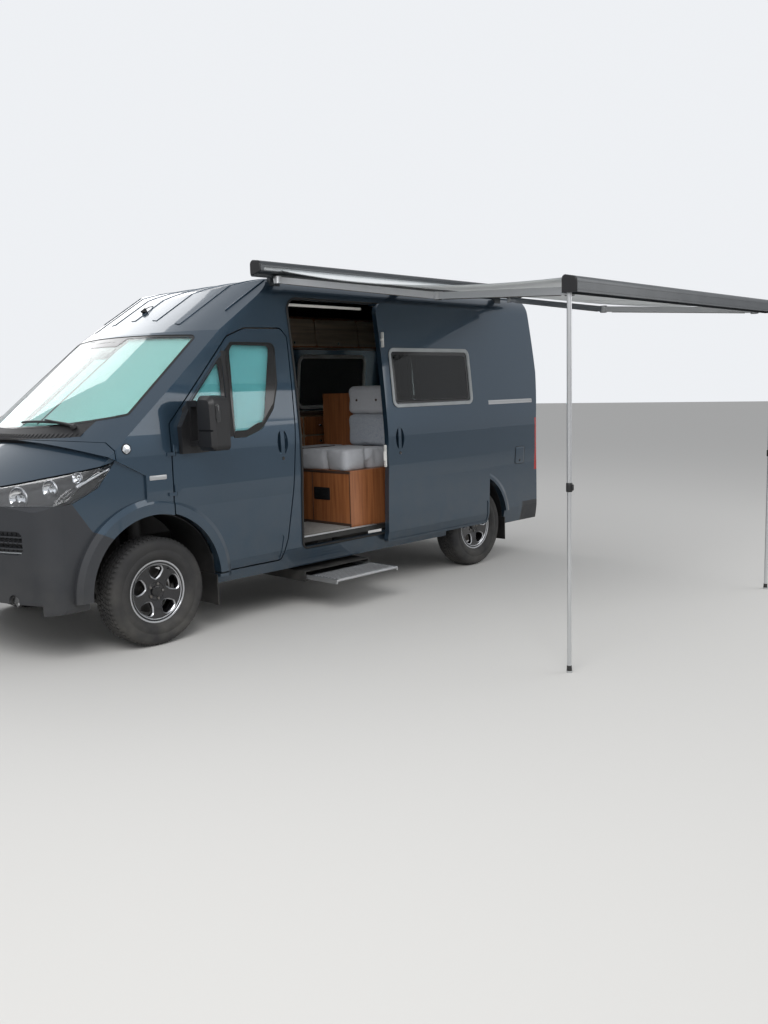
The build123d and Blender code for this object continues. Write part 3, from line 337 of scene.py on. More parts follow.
@dataclass(frozen=True)
class Brushed(Finish):
    """Metal with fine drawn lines along one axis."""

    axis: int = 0

    def dress(self, nodes: Nodes, shader: Node) -> None:
        """Add the drawn lines."""
        stretched = self.drawn(nodes, self.axis, 900.0, 4.0)
        lines = nodes.add("ShaderNodeTexNoise", {"Vector": stretched, "Scale": 1.0, "Detail": 3.0})
        mask = nodes.ramp(lines.outputs["Fac"], 0.3, 0.7)
        second = self.second or tuple(c * 0.82 for c in self.colour)
        self.link(nodes, shader, "Base Color", nodes.mix(mask, self.colour, second))
        self.roughen(nodes, shader, mask, self.roughness * 0.8, self.roughness * 1.25)
        self.bump(nodes, shader, lines.outputs["Fac"], 0.08)


@dataclass(frozen=True)
class ClearGlass(Finish):
    """Window glass or a clear lamp cover with faint smears."""

    def dress(self, nodes: Nodes, shader: Node) -> None:
        """Let light through and vary the roughness a little."""
        shader.inputs["Transmission Weight"].default_value = 1.0
        shader.inputs["IOR"].default_value = 1.45
        smear = nodes.add("ShaderNodeTexNoise", {"Vector": self.place(nodes), "Scale": 5.0, "Detail": 4.0})
        rough = nodes.add("ShaderNodeMapRange", {0: smear.outputs["Fac"], 1: 0.4, 2: 0.8, 3: self.roughness,
                                                 4: self.roughness + 0.03}).outputs[0]
        self.link(nodes, shader, "Roughness", rough)


@dataclass(frozen=True)
class Board(Finish):
    """Furniture board with grain that runs up or along."""

    axis: int = 2

    def dress(self, nodes: Nodes, shader: Node) -> None:
        """Add growth lines, pores and a satin variation."""
        stretched = self.drawn(nodes, self.axis, 34.0, 1.6)
        bands = nodes.add("ShaderNodeTexNoise", {"Vector": stretched, "Scale": 1.0, "Detail": 7.0,
                                                 "Distortion": 0.9}).outputs["Fac"]
        pores = nodes.add("ShaderNodeTexNoise",
                          {"Vector": stretched, "Scale": 14.0, "Detail": 2.0}).outputs["Fac"]
        second = self.second or tuple(c * 0.6 for c in self.colour)
        base = nodes.mix(nodes.ramp(bands, 0.35, 0.68), self.colour, second)
        dark = tuple(c * 0.5 for c in second)
        self.link(nodes, shader, "Base Color",
                  nodes.mix(nodes.math("MULTIPLY", nodes.ramp(pores, 0.62, 0.75), 0.5),
                                                         base, dark))
        self.roughen(nodes, shader, bands, self.roughness * 0.85, self.roughness * 1.2)
        self.bump(nodes, shader, pores, 0.05)


@dataclass(frozen=True)
class Woven(Finish):
    """Cloth with a visible weave and speckled threads."""

    threads: float = 900.0
    depth: float = 0.25

    def dress(self, nodes: Nodes, shader: Node) -> None:
        """Add threads in height and colour."""
        weave = nodes.group(EFFECTS.weave, Threads=self.threads).outputs
        second = self.second or tuple(c * 0.75 for c in self.colour)
        self.link(nodes, shader, "Base Color", nodes.mix(weave["Thread"], self.colour, second))
        self.roughen(nodes, shader, weave["Thread"], self.roughness * 0.95, min(1.0, self.roughness * 1.08))
        shader.inputs["Sheen Weight"].default_value = 0.25
        self.bump(nodes, shader, weave["Height"], self.depth)


PAINT = Paint("slate_blue_paint", "paint", (0.026, 0.054, 0.086), 0.32, 0.62, 1.0, 0.04,
              (0.070, 0.120, 0.175))
BUMPER = Moulded("grained_bumper", "bumper_plastic", (0.022, 0.024, 0.028), 0.52)
BLACK = Moulded("satin_black", "black_plastic", (0.010, 0.010, 0.011), 0.42, scale=1500.0, depth=0.15)
RUBBER = Moulded("black_rubber", "black_plastic", (0.012, 0.012, 0.012), 0.68, scale=700.0, depth=0.2,
                 dusty=0.1)
TYRE = Moulded("tyre_rubber", "tyre", (0.016, 0.016, 0.017), 0.72, scale=500.0, depth=0.25, dusty=0.45)
GLOSS_BLACK = Finish("gloss_black", "black_plastic", (0.006, 0.006, 0.007), 0.18, 0.0, 0.5)
RIM_BLACK = Finish("rim_black", "alloy", (0.010, 0.010, 0.012), 0.22, 0.2, 0.8)
MACHINED = Brushed("machined_alloy", "alloy", (0.62, 0.63, 0.65), 0.3, 1.0, axis=1)
ALUMINIUM = Brushed("anodised_aluminium", "bare_aluminium", (0.58, 0.59, 0.60), 0.36, 0.9)
LEG_METAL = Brushed("leg_aluminium", "bare_aluminium", (0.66, 0.67, 0.68), 0.34, 0.85, axis=2)
ANTHRACITE = Finish("anthracite_coat", "anthracite", (0.030, 0.036, 0.042), 0.38, 0.3, 0.3, 0.2)
CHASSIS = Moulded("chassis_metal", "steel", (0.020, 0.020, 0.020), 0.62, 0.2, scale=300.0, depth=0.3,
                  dusty=0.5)
STEEL = Finish("worn_steel", "steel", (0.25, 0.25, 0.25), 0.4, 0.9, second=(0.16, 0.14, 0.12))
WINDOW = ClearGlass("window_glass", "glass", (0.86, 0.95, 0.93), 0.0)
TINTED = ClearGlass("tinted_acrylic", "acrylic", (0.10, 0.11, 0.11), 0.02)
LENS = ClearGlass("lamp_cover", "lamp", (0.97, 0.98, 0.99), 0.0)
RED_LENS = Finish("red_lens", "tail_lamp", (0.42, 0.012, 0.012), 0.15, 0.0, 0.6)
CHROME = Finish("lamp_reflector", "lamp", (0.82, 0.83, 0.85), 0.1, 1.0)
WOOD = Board("cherry_board", "wood", (0.36, 0.135, 0.05), 0.34, second=(0.21, 0.07, 0.025), coat=0.25)
PALE_BOARD = Board("pale_laminate", "light_board", (0.42, 0.33, 0.24), 0.4, axis=0)
BLIND = Woven("turquoise_blind", "blind", (0.16, 0.55, 0.62), 0.7, second=(0.24, 0.66, 0.70), threads=700.0)
SCREEN_BLIND = Woven("pale_blind", "blind", (0.36, 0.66, 0.64), 0.55, second=(0.46, 0.76, 0.74),
                     threads=500.0)
DARK_BLIND = Woven("dark_roller_blind", "blind", (0.030, 0.032, 0.036), 0.8, second=(0.022, 0.024, 0.027),
                   threads=900.0)
SEAT_CLOTH = Woven("seat_cloth", "seat_fabric", (0.035, 0.037, 0.042), 0.85)
GREY_CUSHION = Woven("grey_upholstery", "cushion", (0.46, 0.47, 0.49), 0.85, second=(0.34, 0.35, 0.38))
AWNING_CLOTH = Woven("awning_canvas", "awning_cloth", (0.74, 0.77, 0.78), 0.8, second=(0.66, 0.69, 0.71),
                     threads=1400.0, depth=0.1)
LINING = Moulded("grey_lining", "black_plastic", (0.09, 0.095, 0.10), 0.8, scale=400.0, depth=0.2, dusty=0.0)
BLUE_CUSHION = Woven("blue_grey_upholstery", "cushion", (0.17, 0.20, 0.25), 0.9, second=(0.42, 0.44, 0.47),
                     threads=420.0, depth=0.45)
MATTRESS = Woven("mattress_ticking", "cushion", (0.62, 0.60, 0.55), 0.9, second=(0.52, 0.50, 0.46),
                 threads=520.0)
MAT = Woven("patterned_mat", "seat_fabric", (0.09, 0.09, 0.09), 0.95, second=(0.24, 0.22, 0.19),
            threads=160.0, depth=0.6)
FRAME_GREY = Moulded("pale_grey_frame", "acrylic", (0.34, 0.36, 0.37), 0.45, scale=1200.0, depth=0.1,
                     dusty=0.05)
PALE_PLASTIC = Moulded("pale_plastic", "light_board", (0.62, 0.62, 0.60), 0.42, scale=1200.0, depth=0.08,
                       dusty=0.05)
DARK_TRIM = Moulded("dark_edging", "wood", (0.05, 0.03, 0.022), 0.45, scale=900.0, depth=0.1, dusty=0.0)
CHROME_TRIM = Finish("bright_trim", "bare_aluminium", (0.66, 0.67, 0.69), 0.2, 1.0)
STAINLESS = Brushed("stainless_steel", "steel", (0.52, 0.53, 0.54), 0.3, 1.0)
COPPER = Finish("heater_wire", "glass", (0.20, 0.10, 0.06), 0.5, 0.5)
AMBER = Finish("amber_lens", "tail_lamp", (0.70, 0.22, 0.02), 0.15, 0.0, 0.6)
GLOW = Finish("lamp_diffuser", "light_board", (0.92, 0.90, 0.84), 0.5)


def mm(*values: float) -> list[Flat]:
    """Pairs in metres from a run of millimetres, such as (inset, lift) or (distance along, radius)."""
    return [(values[i] / 1000, values[i + 1] / 1000) for i in range(0, len(values), 2)]


def square(x0: float, x1: float, z0: float, z1: float, radius: float) -> list[Point]:
    """Corners of a rectangle with one corner radius."""
    return [(x0, z0, radius), (x1, z0, radius), (x1, z1, radius), (x0, z1, radius)]


def shares(count: int) -> list[float]:
    """Even steps from 0 to 1, with both ends."""
    return [k / count for k in range(count + 1)]


def shifted(base: float, rows: Sequence[Flat]) -> list[Flat]:
    """Rows of a profile whose first values are measured from a base."""
    return [(base + along, radius) for along, radius in rows]


def show(item: Object) -> None:
    """Put an object in the scene."""
    bpy.context.scene.collection.objects.link(item)


def rounded_outline(corners: Sequence[Point], inset: float = 0.0, arc: int = 4,
                    step: float = 0.05) -> list[Flat]:
    """Polygon with rounded corners, moved inwards.

    Args:
        corners: u, v and radius of each corner, in order round the polygon.
        inset: How far every edge moves inwards.
        arc: Steps in each rounded corner.
        step: Longest stretch between two points on a straight edge.

    Returns:
        Points round the outline, as many at any inset.
    """
    count = len(corners)
    spots = [Vector(corner[:2]) for corner in corners]
    area = sum(spots[i - 1].cross(spots[i]) for i in range(count))
    turn = 1.0 if area > 0 else -1.0
    moved = []
    for i in range(count):
        before, here, after = spots[i - 1], spots[i], spots[(i + 1) % count]
        first, second = (here - before).normalized(), (after - here).normalized()
        bend = first.cross(second)
        normal = Vector((-first.y, first.x)) * turn
        other = Vector((-second.y, second.x)) * turn
        if abs(bend) < 1e-4:
            moved.append(here + normal * inset)
        else:
            moved.append(here + (normal + other) * (inset / (1.0 + normal.dot(other))))
    bends = []
    for i in range(count):
        back, on = (moved[i - 1] - moved[i]), (moved[(i + 1) % count] - moved[i])
        reach = min(back.length, on.length) * 0.49
        back.normalize()
        on.normalize()
        half = math.acos(max(-1.0, min(1.0, back.dot(on)))) / 2
        radius = min(max(corners[i][2] - inset, 0.0006), reach * math.tan(half))
        if half > math.pi / 2 - 1e-3:
            bends.append([moved[i]] * (arc + 1))
            continue
        centre = moved[i] + (back + on).normalized() * (radius / math.sin(half))
        start = moved[i] + back * (radius / math.tan(half)) - centre
        end = moved[i] + on * (radius / math.tan(half)) - centre
        bends.append([centre + start.lerp(end, k / arc).normalized() * radius for k in range(arc + 1)])
    outline = []
    for i in range(count):
        outline.extend(bends[i])
        start, end = bends[i][-1], bends[(i + 1) % count][0]
        parts = max(1, round((spots[(i + 1) % count] - spots[i]).length / step))
        outline.extend(start.lerp(end, k / parts) for k in range(1, parts))
    return [(spot.x, spot.y) for spot in outline]


Placer = Callable[[float, float, float], Vector]


class Skin:
    """Outer surface of some CAD nodes, to lay pieces on, found by rays that start clear of the van."""

    beside, ahead, behind, above, off_slope = 1.35, -1.6, 5.2, 3.0, 0.8

    def __init__(self, *names: str) -> None:
        """Join the meshes of the named nodes into one search tree."""
        points, faces = [], []
        for name in names:
            mesh = Van.object(name).data
            start = len(points)
            points.extend(vertex.co.copy() for vertex in mesh.vertices)
            faces.extend(tuple(start + i for i in face.vertices) for face in mesh.polygons)
        self.tree = BVHTree.FromPolygons(points, faces)

    def drop(self, start: Vector, along: Vector, lift: float) -> Vector:
        """Point where a ray from start first meets the surface, lifted along its normal."""
        spot, normal, _, _ = self.tree.ray_cast(start, along)
        if spot is None:
            spot, normal, _, _ = self.tree.find_nearest(start + along)
        if normal.dot(along) > 0:
            normal = -normal
        return spot + normal * lift

    def side(self, side: Side) -> Placer:
        """Placer for x, z and lift on one side of the van."""
        return lambda x, z, lift: self.drop(Van.at(x, self.beside * side.value, z),
                                            Vector((0, -side.value, 0)), lift)

    def front(self) -> Placer:
        """Placer for y, z and lift on the nose."""
        return lambda y, z, lift: self.drop(Van.at(self.ahead, y, z), Vector((1, 0, 0)), lift)

    def rear(self, start: float = behind) -> Placer:
        """Placer for y, z and lift on the tail."""
        return lambda y, z, lift: self.drop(Van.at(start, y, z), Vector((-1, 0, 0)), lift)

    def across(self, start: float, toward: float) -> Placer:
        """Placer in x and z from a start inside the van, towards one side."""
        return lambda x, z, lift: self.drop(Van.at(x, start, z), Vector((0, toward, 0)), lift)

    def top(self) -> Placer:
        """Placer for x, y and lift seen from above."""
        return lambda x, y, lift: self.drop(Van.at(x, y, self.above), Vector((0, 0, -1)), lift)

    def slope(self) -> Placer:
        """Placer for y, distance up the windscreen slope and lift."""
        return lambda y, rise, lift: self.drop(Slope.at(y, rise, self.off_slope), -Slope.normal, lift)


class Slope:
    """Plane that the windscreen, bonnet and roof cap lean on."""

    foot = Vector((-0.450, 0.0, 1.440))
    up = (Vector((0.385, 0.0, 2.090)) - foot).normalized()
    normal = Vector((-up.z, 0.0, up.x))

    @classmethod
    def at(cls, y: float, rise: float, lift: float) -> Vector:
        """Point of the model frame from y, distance up the slope and height above it."""
        spot = cls.foot + cls.up * rise + cls.normal * lift
        return Van.at(spot.x, y, spot.z)


def laid(corners: Sequence[Point], section: Sequence[Flat], place: Placer, step: float) -> list[list[Vector]]:
    """Rings of an outline, one for each (inset, lift) pair."""
    return [[place(u, v, lift) for u, v in rounded_outline(corners, inset, step=step)] for inset,
            lift in section]


def circle(centre: Vector, across: Vector, up: Vector, radius: float, sides: int) -> list[Vector]:
    """Ring of points in the plane of two unit vectors."""
    return [centre + (across * math.cos(math.tau * k / sides) + up * math.sin(math.tau * k / sides)) * radius
            for k in range(sides)]


class Shape:
    """Points and faces of one piece, in model coordinates."""

    def __init__(self) -> None:
        """Start empty."""
        self.points: list[Vector] = []
        self.faces: list[tuple[int, ...]] = []

    def rings(self, rings: Sequence[Sequence[Vector]], caps: bool = True, loop: bool = False) -> "Shape":
        """Join rings of equal length, each to the next.

        Args:
            rings: Closed rings of points.
            caps: Whether the first and last ring are filled.
            loop: Whether the last ring joins the first.

        Returns:
            This shape.
        """
        start, count = len(self.points), len(rings[0])
        for ring in rings:
            self.points.extend(ring)
        spans = len(rings) if loop else len(rings) - 1
        for row in range(spans):
            low, high = start + row * count, start + (row + 1) % len(rings) * count
            for i in range(count):
                j = (i + 1) % count
                self.faces.append((low + i, low + j, high + j, high + i))
        if caps and not loop:
            last = start + (len(rings) - 1) * count
            self.faces.append(tuple(range(start + count - 1, start - 1, -1)))
            self.faces.append(tuple(range(last, last + count)))
        return self

    def frame(self, corners: Sequence[Point], section: Sequence[Flat], place: Placer,
              step: float = 0.05) -> "Shape":
        """Run a closed section of (inset, lift) pairs round an outline."""
        return self.rings(laid(corners, section, place, step), loop=True)

    def panel(self, corners: Sequence[Point], section: Sequence[Flat], place: Placer,
              step: float = 0.05) -> "Shape":
        """Filled panel whose edge follows (inset, lift) pairs from the back round to the front."""
        return self.rings(laid(corners, section, place, step))

    def net(self, rows: Sequence[Sequence[Vector]]) -> "Shape":
        """Open sheet over rows of points of equal length."""
        start, wide = len(self.points), len(rows[0])
        for row in rows:
            self.points.extend(row)
        for i in range(len(rows) - 1):
            for a in range(start + i * wide, start + (i + 1) * wide - 1):
                self.faces.append((a, a + 1, a + wide + 1, a + wide))
        return self

    def tube(self, path: Sequence[Vector], radius: float | Sequence[float], sides: int = 8) -> "Shape":
        """Round bar along a path, one radius or one for each point."""
        radii = [radius] * len(path) if isinstance(radius, float) else radius
        ahead = (path[1] - path[0]).normalized()
        across = ahead.orthogonal().normalized()
        rings = []
        for i, spot in enumerate(path):
            near, far = path[max(i - 1, 0)], path[min(i + 1, len(path) - 1)]
            ahead = (far - near).normalized()
            across = (across - ahead * across.dot(ahead)).normalized()
            rings.append(circle(spot, across, ahead.cross(across), radii[i], sides))
        return self.rings(rings)

    def lathe(self, profile: Sequence[Flat], centre: Vector, axis: Vector, sides: int = 32,
              loop: bool = False) -> "Shape":
        """Turn (distance along, radius) pairs about an axis."""
        across = axis.orthogonal().normalized()
        up = axis.cross(across)
        rings = [circle(centre + axis * along, across, up, radius, sides) for along, radius in profile]
        return self.rings(rings, loop=loop)

    def block(self, low: Vector, high: Vector, edge: float = 0.004, corner: float = 0.0) -> "Shape":
        """Box between two corners with rounded edges, its faces square to the axes."""
        sizes = high - low
        axis = max(range(3), key=lambda i: -sizes[i])
        u, v = [i for i in range(3) if i != axis]
        edge = min(edge, sizes[axis] * 0.45)
        radius = max(corner, edge * 1.5)
        corners = square(low[u], high[u], low[v], high[v], radius)

        def place(a: float, b: float, c: float) -> Vector:
            """Point from its values along u, v and the longest axis."""
            spot = Vector((0.0, 0.0, 0.0))
            spot[u], spot[v], spot[axis] = a, b, c
            return spot

        section = [(edge, low[axis]), (edge * 0.3, low[axis] + edge * 0.3), (0.0, low[axis] + edge),
                   (0.0, high[axis] - edge), (edge * 0.3, high[axis] - edge * 0.3), (edge, high[axis])]
        return self.panel(corners, section, place, step=9.0)

    def box(self, x0: float, x1: float, y0: float, y1: float, z0: float, z1: float, edge: float = 0.004,
            corner: float = 0.0) -> "Shape":
        """Rounded box between van coordinates."""
        return self.block(Van.at(x0, y0, z0), Van.at(x1, y1, z1), edge, corner)

    def add(self, other: Mesh, matrix: Matrix | None = None) -> "Shape":
        """Take in a ready mesh."""
        start = len(self.points)
        self.points.extend((matrix @ vertex.co) if matrix else vertex.co.copy() for vertex in other.vertices)
        self.faces.extend(tuple(start + i for i in face.vertices) for face in other.polygons)
        return self

    def mesh(self, name: str) -> Mesh:
        """Blender mesh with its faces turned outwards."""
        made = bpy.data.meshes.new(name)
        made.from_pydata([tuple(spot) for spot in self.points], [], self.faces)
        work = bmesh.new()
        work.from_mesh(made)
        bmesh.ops.remove_doubles(work, verts=work.verts, dist=1e-5)
        bmesh.ops.recalc_face_normals(work, faces=work.faces)
        work.to_mesh(made)
        work.free()
        return made

    def piece(self, name: str, finish: "Finish", body: str = "van_body", smooth: float = 35.0) -> Object:
        """Put the shape in the scene as one piece riding on a body."""
        return settle(self.mesh(name), name, finish, body, smooth)


def settle(mesh: Mesh, name: str, finish: "Finish", body: str, smooth: float = 35.0) -> Object:
    """Put a ready mesh in the scene.

    Args:
        mesh: Mesh in model coordinates.
        name: Name of the piece.
        finish: Its finish.
        body: CAD body that it rides on.
        smooth: Edges sharper than this many degrees stay sharp.

    Returns:
        The new object.
    """
    mesh.materials.clear()
    mesh.materials.append(finish.material())
    mesh.shade_smooth()
    mesh.set_sharp_from_angle(angle=math.radians(smooth))
    made = bpy.data.objects.new(name, mesh)
    show(made)
    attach(made, body)
    LOG.info("%s: %d faces on %s", name, len(mesh.polygons), body)
    return made


class Copier:
    """Geometry Nodes group that places copies of one small mesh in a ring."""

    def __init__(self) -> None:
        """Build the group."""
        self.tree = self._group()

    @staticmethod
    def _group() -> Tree:
        """Group that turns points of a circle into copies, ending in one mesh with one material."""
        tree = bpy.data.node_groups.new("ring_of_copies", "GeometryNodeTree")
        for key, kind in (("Geometry", "Geometry"), ("Part", "Object"), ("Material", "Material"),
                          ("Count", "Int"),
                          ("Radius", "Float")):
            tree.interface.new_socket(key, in_out="INPUT", socket_type="NodeSocket" + kind)
        tree.interface.new_socket("Geometry", in_out="OUTPUT", socket_type="NodeSocketGeometry")
        n = Nodes(tree)
        given, out = n.add("NodeGroupInput").outputs, n.add("NodeGroupOutput")
        part = n.add("GeometryNodeObjectInfo", {"Object": given["Part"]}).outputs["Geometry"]
        points = n.add("GeometryNodeMeshCircle", {"Vertices": given["Count"], "Radius": given["Radius"]})
        turn = n.math("MULTIPLY",
                      n.math("DIVIDE", n.add("GeometryNodeInputIndex").outputs[0], given["Count"]),
                      math.tau)
        rotation = n.add("ShaderNodeCombineXYZ", {2: turn}).outputs[0]
        copies = n.add("GeometryNodeInstanceOnPoints", {"Points": points.outputs[0], "Instance": part,
                                                        "Rotation": rotation}).outputs[0]
        whole = n.add("GeometryNodeRealizeInstances", {0: copies}).outputs[0]
        done = n.add("GeometryNodeSetMaterial", {"Geometry": whole, "Material": given["Material"]}).outputs[0]
        tree.links.new(done, out.inputs[0])
        return tree

    def ring(self, part: Shape, finish: "Finish", count: int, radius: float) -> Mesh:
        """Copies round the z axis, the part's x axis pointing outwards.

        Args:
            part: Shape that is copied.
            finish: Finish of the copies.
            count: How many copies there are.
            radius: Radius of the circle that they stand on.

        Returns:
            The finished mesh of all copies.
        """
        source = bpy.data.objects.new("copied_part", part.mesh("part"))
        host = bpy.data.objects.new("copies", bpy.data.meshes.new("copies"))
        for item in (source, host):
            show(item)
        modifier = host.modifiers.new("copies", "NODES")
        modifier.node_group = self.tree
        sockets = {item.name: item.identifier for item in self.tree.interface.items_tree
                   if item.in_out == "INPUT"}
        for key, value in (("Count", count), ("Radius", radius), ("Part", source),
                           ("Material", finish.material())):
            modifier[sockets[key]] = value
        bpy.context.view_layer.update()
        made = bpy.data.meshes.new_from_object(host.evaluated_get(bpy.context.evaluated_depsgraph_get()))
        host.modifiers.remove(modifier)
        for item in (host, source):
            bpy.data.objects.remove(item)
        return made


COPIER = Copier()


class Wheel:
    """One wheel: treaded tyre, five-window alloy rim, brake disc, bolts and cap."""

    tyre_radius = 0.362
    width = 0.225
    rim_edge = 0.211
    face = 0.0765
    windows = 5
    middle = 0.132
    blocks = 64
    window_rows = [(0.082, 0.0), (0.108, 15.5), (0.150, 20.5), (0.171, 14.0), (0.174, 0.0)]

    def __init__(self, name: str, side: Side) -> None:
        """Find the wheel's centre from its CAD tyre."""
        self.name, self.side = name, side
        low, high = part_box("tyre_" + name)
        self.centre = (low + high) / 2
        self.body = "wheel_" + name
        self.out = Vector((0.0, float(side.value), 0.0))
        self.turn = Matrix.Translation(self.centre) @ Matrix((
            (1.0, 0.0, 0.0, 0.0), (0.0, 0.0, float(side.value), 0.0), (0.0, -float(side.value), 0.0, 0.0),
            (0.0, 0.0, 0.0, 1.0)))

    def polar(self, radius: float, degrees: float, across: float) -> Vector:
        """Point at an angle from straight up, a radius and a distance outboard of the middle plane."""
        angle = math.radians(degrees)
        return self.centre + Vector((math.sin(angle) * radius, 0.0,
                                     math.cos(angle) * radius)) + self.out * across

    def tyre(self) -> None:
        """Carcass with ribs on the sidewall and rows of tread blocks."""
        half, tread = self.width / 2, self.tyre_radius - 0.009
        wall = mm(26, 0.5, 20, 10, 8, 20, 5, 28, 1.2, 34, 0.8, 64, 2.2, 66, 2.2, 74, 0.8, 77)
        shoulder = mm(1.5, 46, 4, 34, 12, 20, 24, 11, 40, 9)
        side = [(half - a, self.rim_edge + b) for a, b in wall]
        side += [(half - a, self.tyre_radius - b) for a, b in shoulder]
        profile = side + [(-along, radius) for along, radius in reversed(side)]
        whole = Shape().lathe(profile, self.centre, self.out, 96, loop=True)
        for across, wide, long, shift in ((0.015, 0.024, 0.030, 0.0), (-0.015, 0.024, 0.030, 2.8),
                                          (0.046, 0.028, 0.027, 1.4), (-0.046, 0.028, 0.027, 4.2)):
            block = Shape()
            rows = mm(0, 0, 6, 0, 8.2, -2)
            block.rings([[Vector((rise - 0.002, (long / 2 + grow) * a + wide * 0.18 * b,
                                  across + (wide / 2 + grow) * b))
                          for a, b in ((-1, -1), (1, -1), (1, 1), (-1, 1))] for rise, grow in rows])
            ring = COPIER.ring(block, TYRE, self.blocks, tread)
            whole.add(ring, self.turn @ Matrix.Rotation(math.radians(shift), 4, "Z"))
        for sign in (1, -1):
            lug = Shape()
            rows = [(-0.034, 0.104, 0.0035), (-0.022, 0.100, 0.006), (-0.011, 0.089, 0.0075),
                    (-0.001, 0.070, 0.0085)]
            foot = ((0, -1, 0.0105), (0, 1, 0.0105), (1, 1, 0.0088), (1, -1, 0.0088))
            lug.rings([[Vector((radius + lift * a, long * b, (across + lift * 0.45 * a) * sign))
                        for a, b, long in foot] for radius, across, lift in rows])
            ring = COPIER.ring(lug, TYRE, self.blocks, tread)
            whole.add(ring, self.turn @ Matrix.Rotation(math.radians(sign * 1.4), 4, "Z"))
        tyre = whole.piece("tread_" + self.name, TYRE, self.body, 40.0)
        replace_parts(tyre, "tyre_" + self.name)

    def window(self, grow: float) -> list[tuple[float, float]]:
        """Outline of one window as (radius, degrees) pairs, made larger by grow."""
        rows = self.window_rows + [(radius, -angle) for radius, angle in reversed(self.window_rows[1:-1])]
        spots = [Vector((radius - self.middle, math.radians(angle) * radius)) for radius, angle in rows]
        dense = []
        for i, spot in enumerate(spots):
            after = spots[(i + 1) % len(spots)]
            dense.extend(spot.lerp(after, k / 6) for k in range(6))
        for _ in range(3):
            dense = [(dense[i - 1] + dense[i] * 2 + dense[(i + 1) % len(dense)]) / 4
                     for i in range(len(dense))]
        grown = [spot + spot.normalized() * grow for spot in dense]
        return [(spot.x + self.middle, math.degrees(spot.y / (spot.x + self.middle))) for spot in grown]

    def row(self, outline: Sequence[Flat], shift: float, rise: float = 0.0) -> list[Vector]:
        """Outline laid on the dished face, turned by some degrees and raised by some metres."""
        return [self.polar(radius, angle + shift, self.dish(radius) + rise) for radius, angle in outline]

    def dish(self, radius: float) -> float:
        """Distance outboard of the rim's face at a radius."""
        return self.face - 0.016 + 0.016 * min(1.0, max(0.0, (radius - 0.066) / 0.12)) ** 0.8

    def rim(self) -> None:
        """Black face with machined window edges, barrel, lip, disc, bolts, cap and valve."""
        inner, outer, half_turn = 0.062, 0.1835, 180.0 / self.windows
        face, edges = Shape(), Shape()
        wide, tight = self.window(0.0075), self.window(0.0)
        border = []
        for radius, angle in wide:
            du = radius - self.middle
            reach = min(((outer if du > 0 else inner) - self.middle) / du if abs(du) > 1e-6 else 1e9,
                        half_turn / abs(angle) if abs(angle) > 1e-6 else 1e9)
            border.append((self.middle + du * reach, angle * reach))
        for corner in ((outer, half_turn), (outer, -half_turn), (inner, half_turn), (inner, -half_turn)):
            near = min(range(len(border)),
                       key=lambda i: abs(border[i][0] - corner[0]) * 900 + abs(border[i][1] - corner[1]))
            border[near] = corner
        for k in range(self.windows):
            shift = 360.0 / self.windows * k
            face.rings([self.row(border, shift), self.row(wide, shift), self.row(tight, shift, -0.006),
                        self.row(tight, shift, -0.030), self.row(border, shift, -0.030)], caps=False)
            edges.rings([self.row(wide, shift, 0.0006), self.row(tight, shift, -0.0054),
                         self.row(tight, shift, -0.0075), self.row(wide, shift, -0.0012)], loop=True)
        centre = mm(-52, 30, -52, 63, -20, 64, -16.5, 60, -18.5, 46, -18.5, 30)
        face.lathe(shifted(self.face, centre), self.centre, self.out, 48, loop=True)
        half = self.width / 2 - 0.0303
        barrel = [(half, 0.2105), (-half, 0.2105), (-half, 0.201), (-half + 0.03, 0.180), (0.020, 0.1785),
                  (self.face - 0.006, 0.1825), (self.face + 0.001, 0.1845), (half - 0.001, 0.1985)]
        face.lathe(barrel, self.centre, self.out, 96, loop=True)
        rim = face.piece("rim_face_" + self.name, RIM_BLACK, self.body, 30.0)
        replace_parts(rim, "rim_" + self.name)
        lip = mm(-2, 197.5, 0.8, 200, 2.2, 204.5, 1.6, 209.5, -4, 210, -4, 198.5)
        edges.lathe(shifted(half, lip), self.centre, self.out, 96, loop=True)
        ring = mm(1.2, 182.2, 1.8, 183.6, 4, 186.6, 2, 187.2)
        edges.lathe(shifted(self.face, ring), self.centre, self.out, 96, loop=True)
        edges.piece("rim_machining_" + self.name, MACHINED, self.body, 30.0)
        self.hub()

    def hub(self) -> None:
        """Brake disc, bolts, cap and valve."""
        disc = Shape()
        disc.lathe(mm(-42, 75, -42, 150, -34, 151, -34, 147, -28, 147, -28, 151, -20, 150, -20, 78, 18, 74,
                      24, 70, 24, 34, -42, 34),
                   self.centre, self.out, 64, loop=True)
        disc.piece("brake_disc_" + self.name, STEEL, self.body)
        bolt = Shape()
        six = [(math.cos(math.tau * k / 6), math.sin(math.tau * k / 6)) for k in range(6)]
        bolt.rings([[Vector((x * size, y * size, rise)) for x, y in six] for rise, size in
                    mm(48, 10.5, 55.5, 10.5, 64, 10.5, 66.5, 8.5)])
        whole = Shape().add(COPIER.ring(bolt, MACHINED, 5, 0.0515), self.turn)
        whole.piece("wheel_bolts_" + self.name, STEEL, self.body)
        cap = shifted(self.face,
                      mm(-26, 34.5, -12, 35.5, -8.5, 33.5, -7.5, 30.5, -8.8, 28.5, -7.2, 18, -6.6, 4))
        Shape().lathe(cap, self.centre, self.out, 48).piece("wheel_cap_" + self.name, GLOSS_BLACK, self.body)
        stem = self.polar(0.176, 36.0, self.face - 0.006)
        tip = self.polar(0.166, 36.0, self.face + 0.018)
        path = [stem.lerp(tip, t) for t in (0.0, 0.5, 0.52, 1.0)]
        valve = Shape().tube(path, [0.0055, 0.0045, 0.0042, 0.0042], 10)
        valve.piece("valve_" + self.name, RUBBER, self.body)

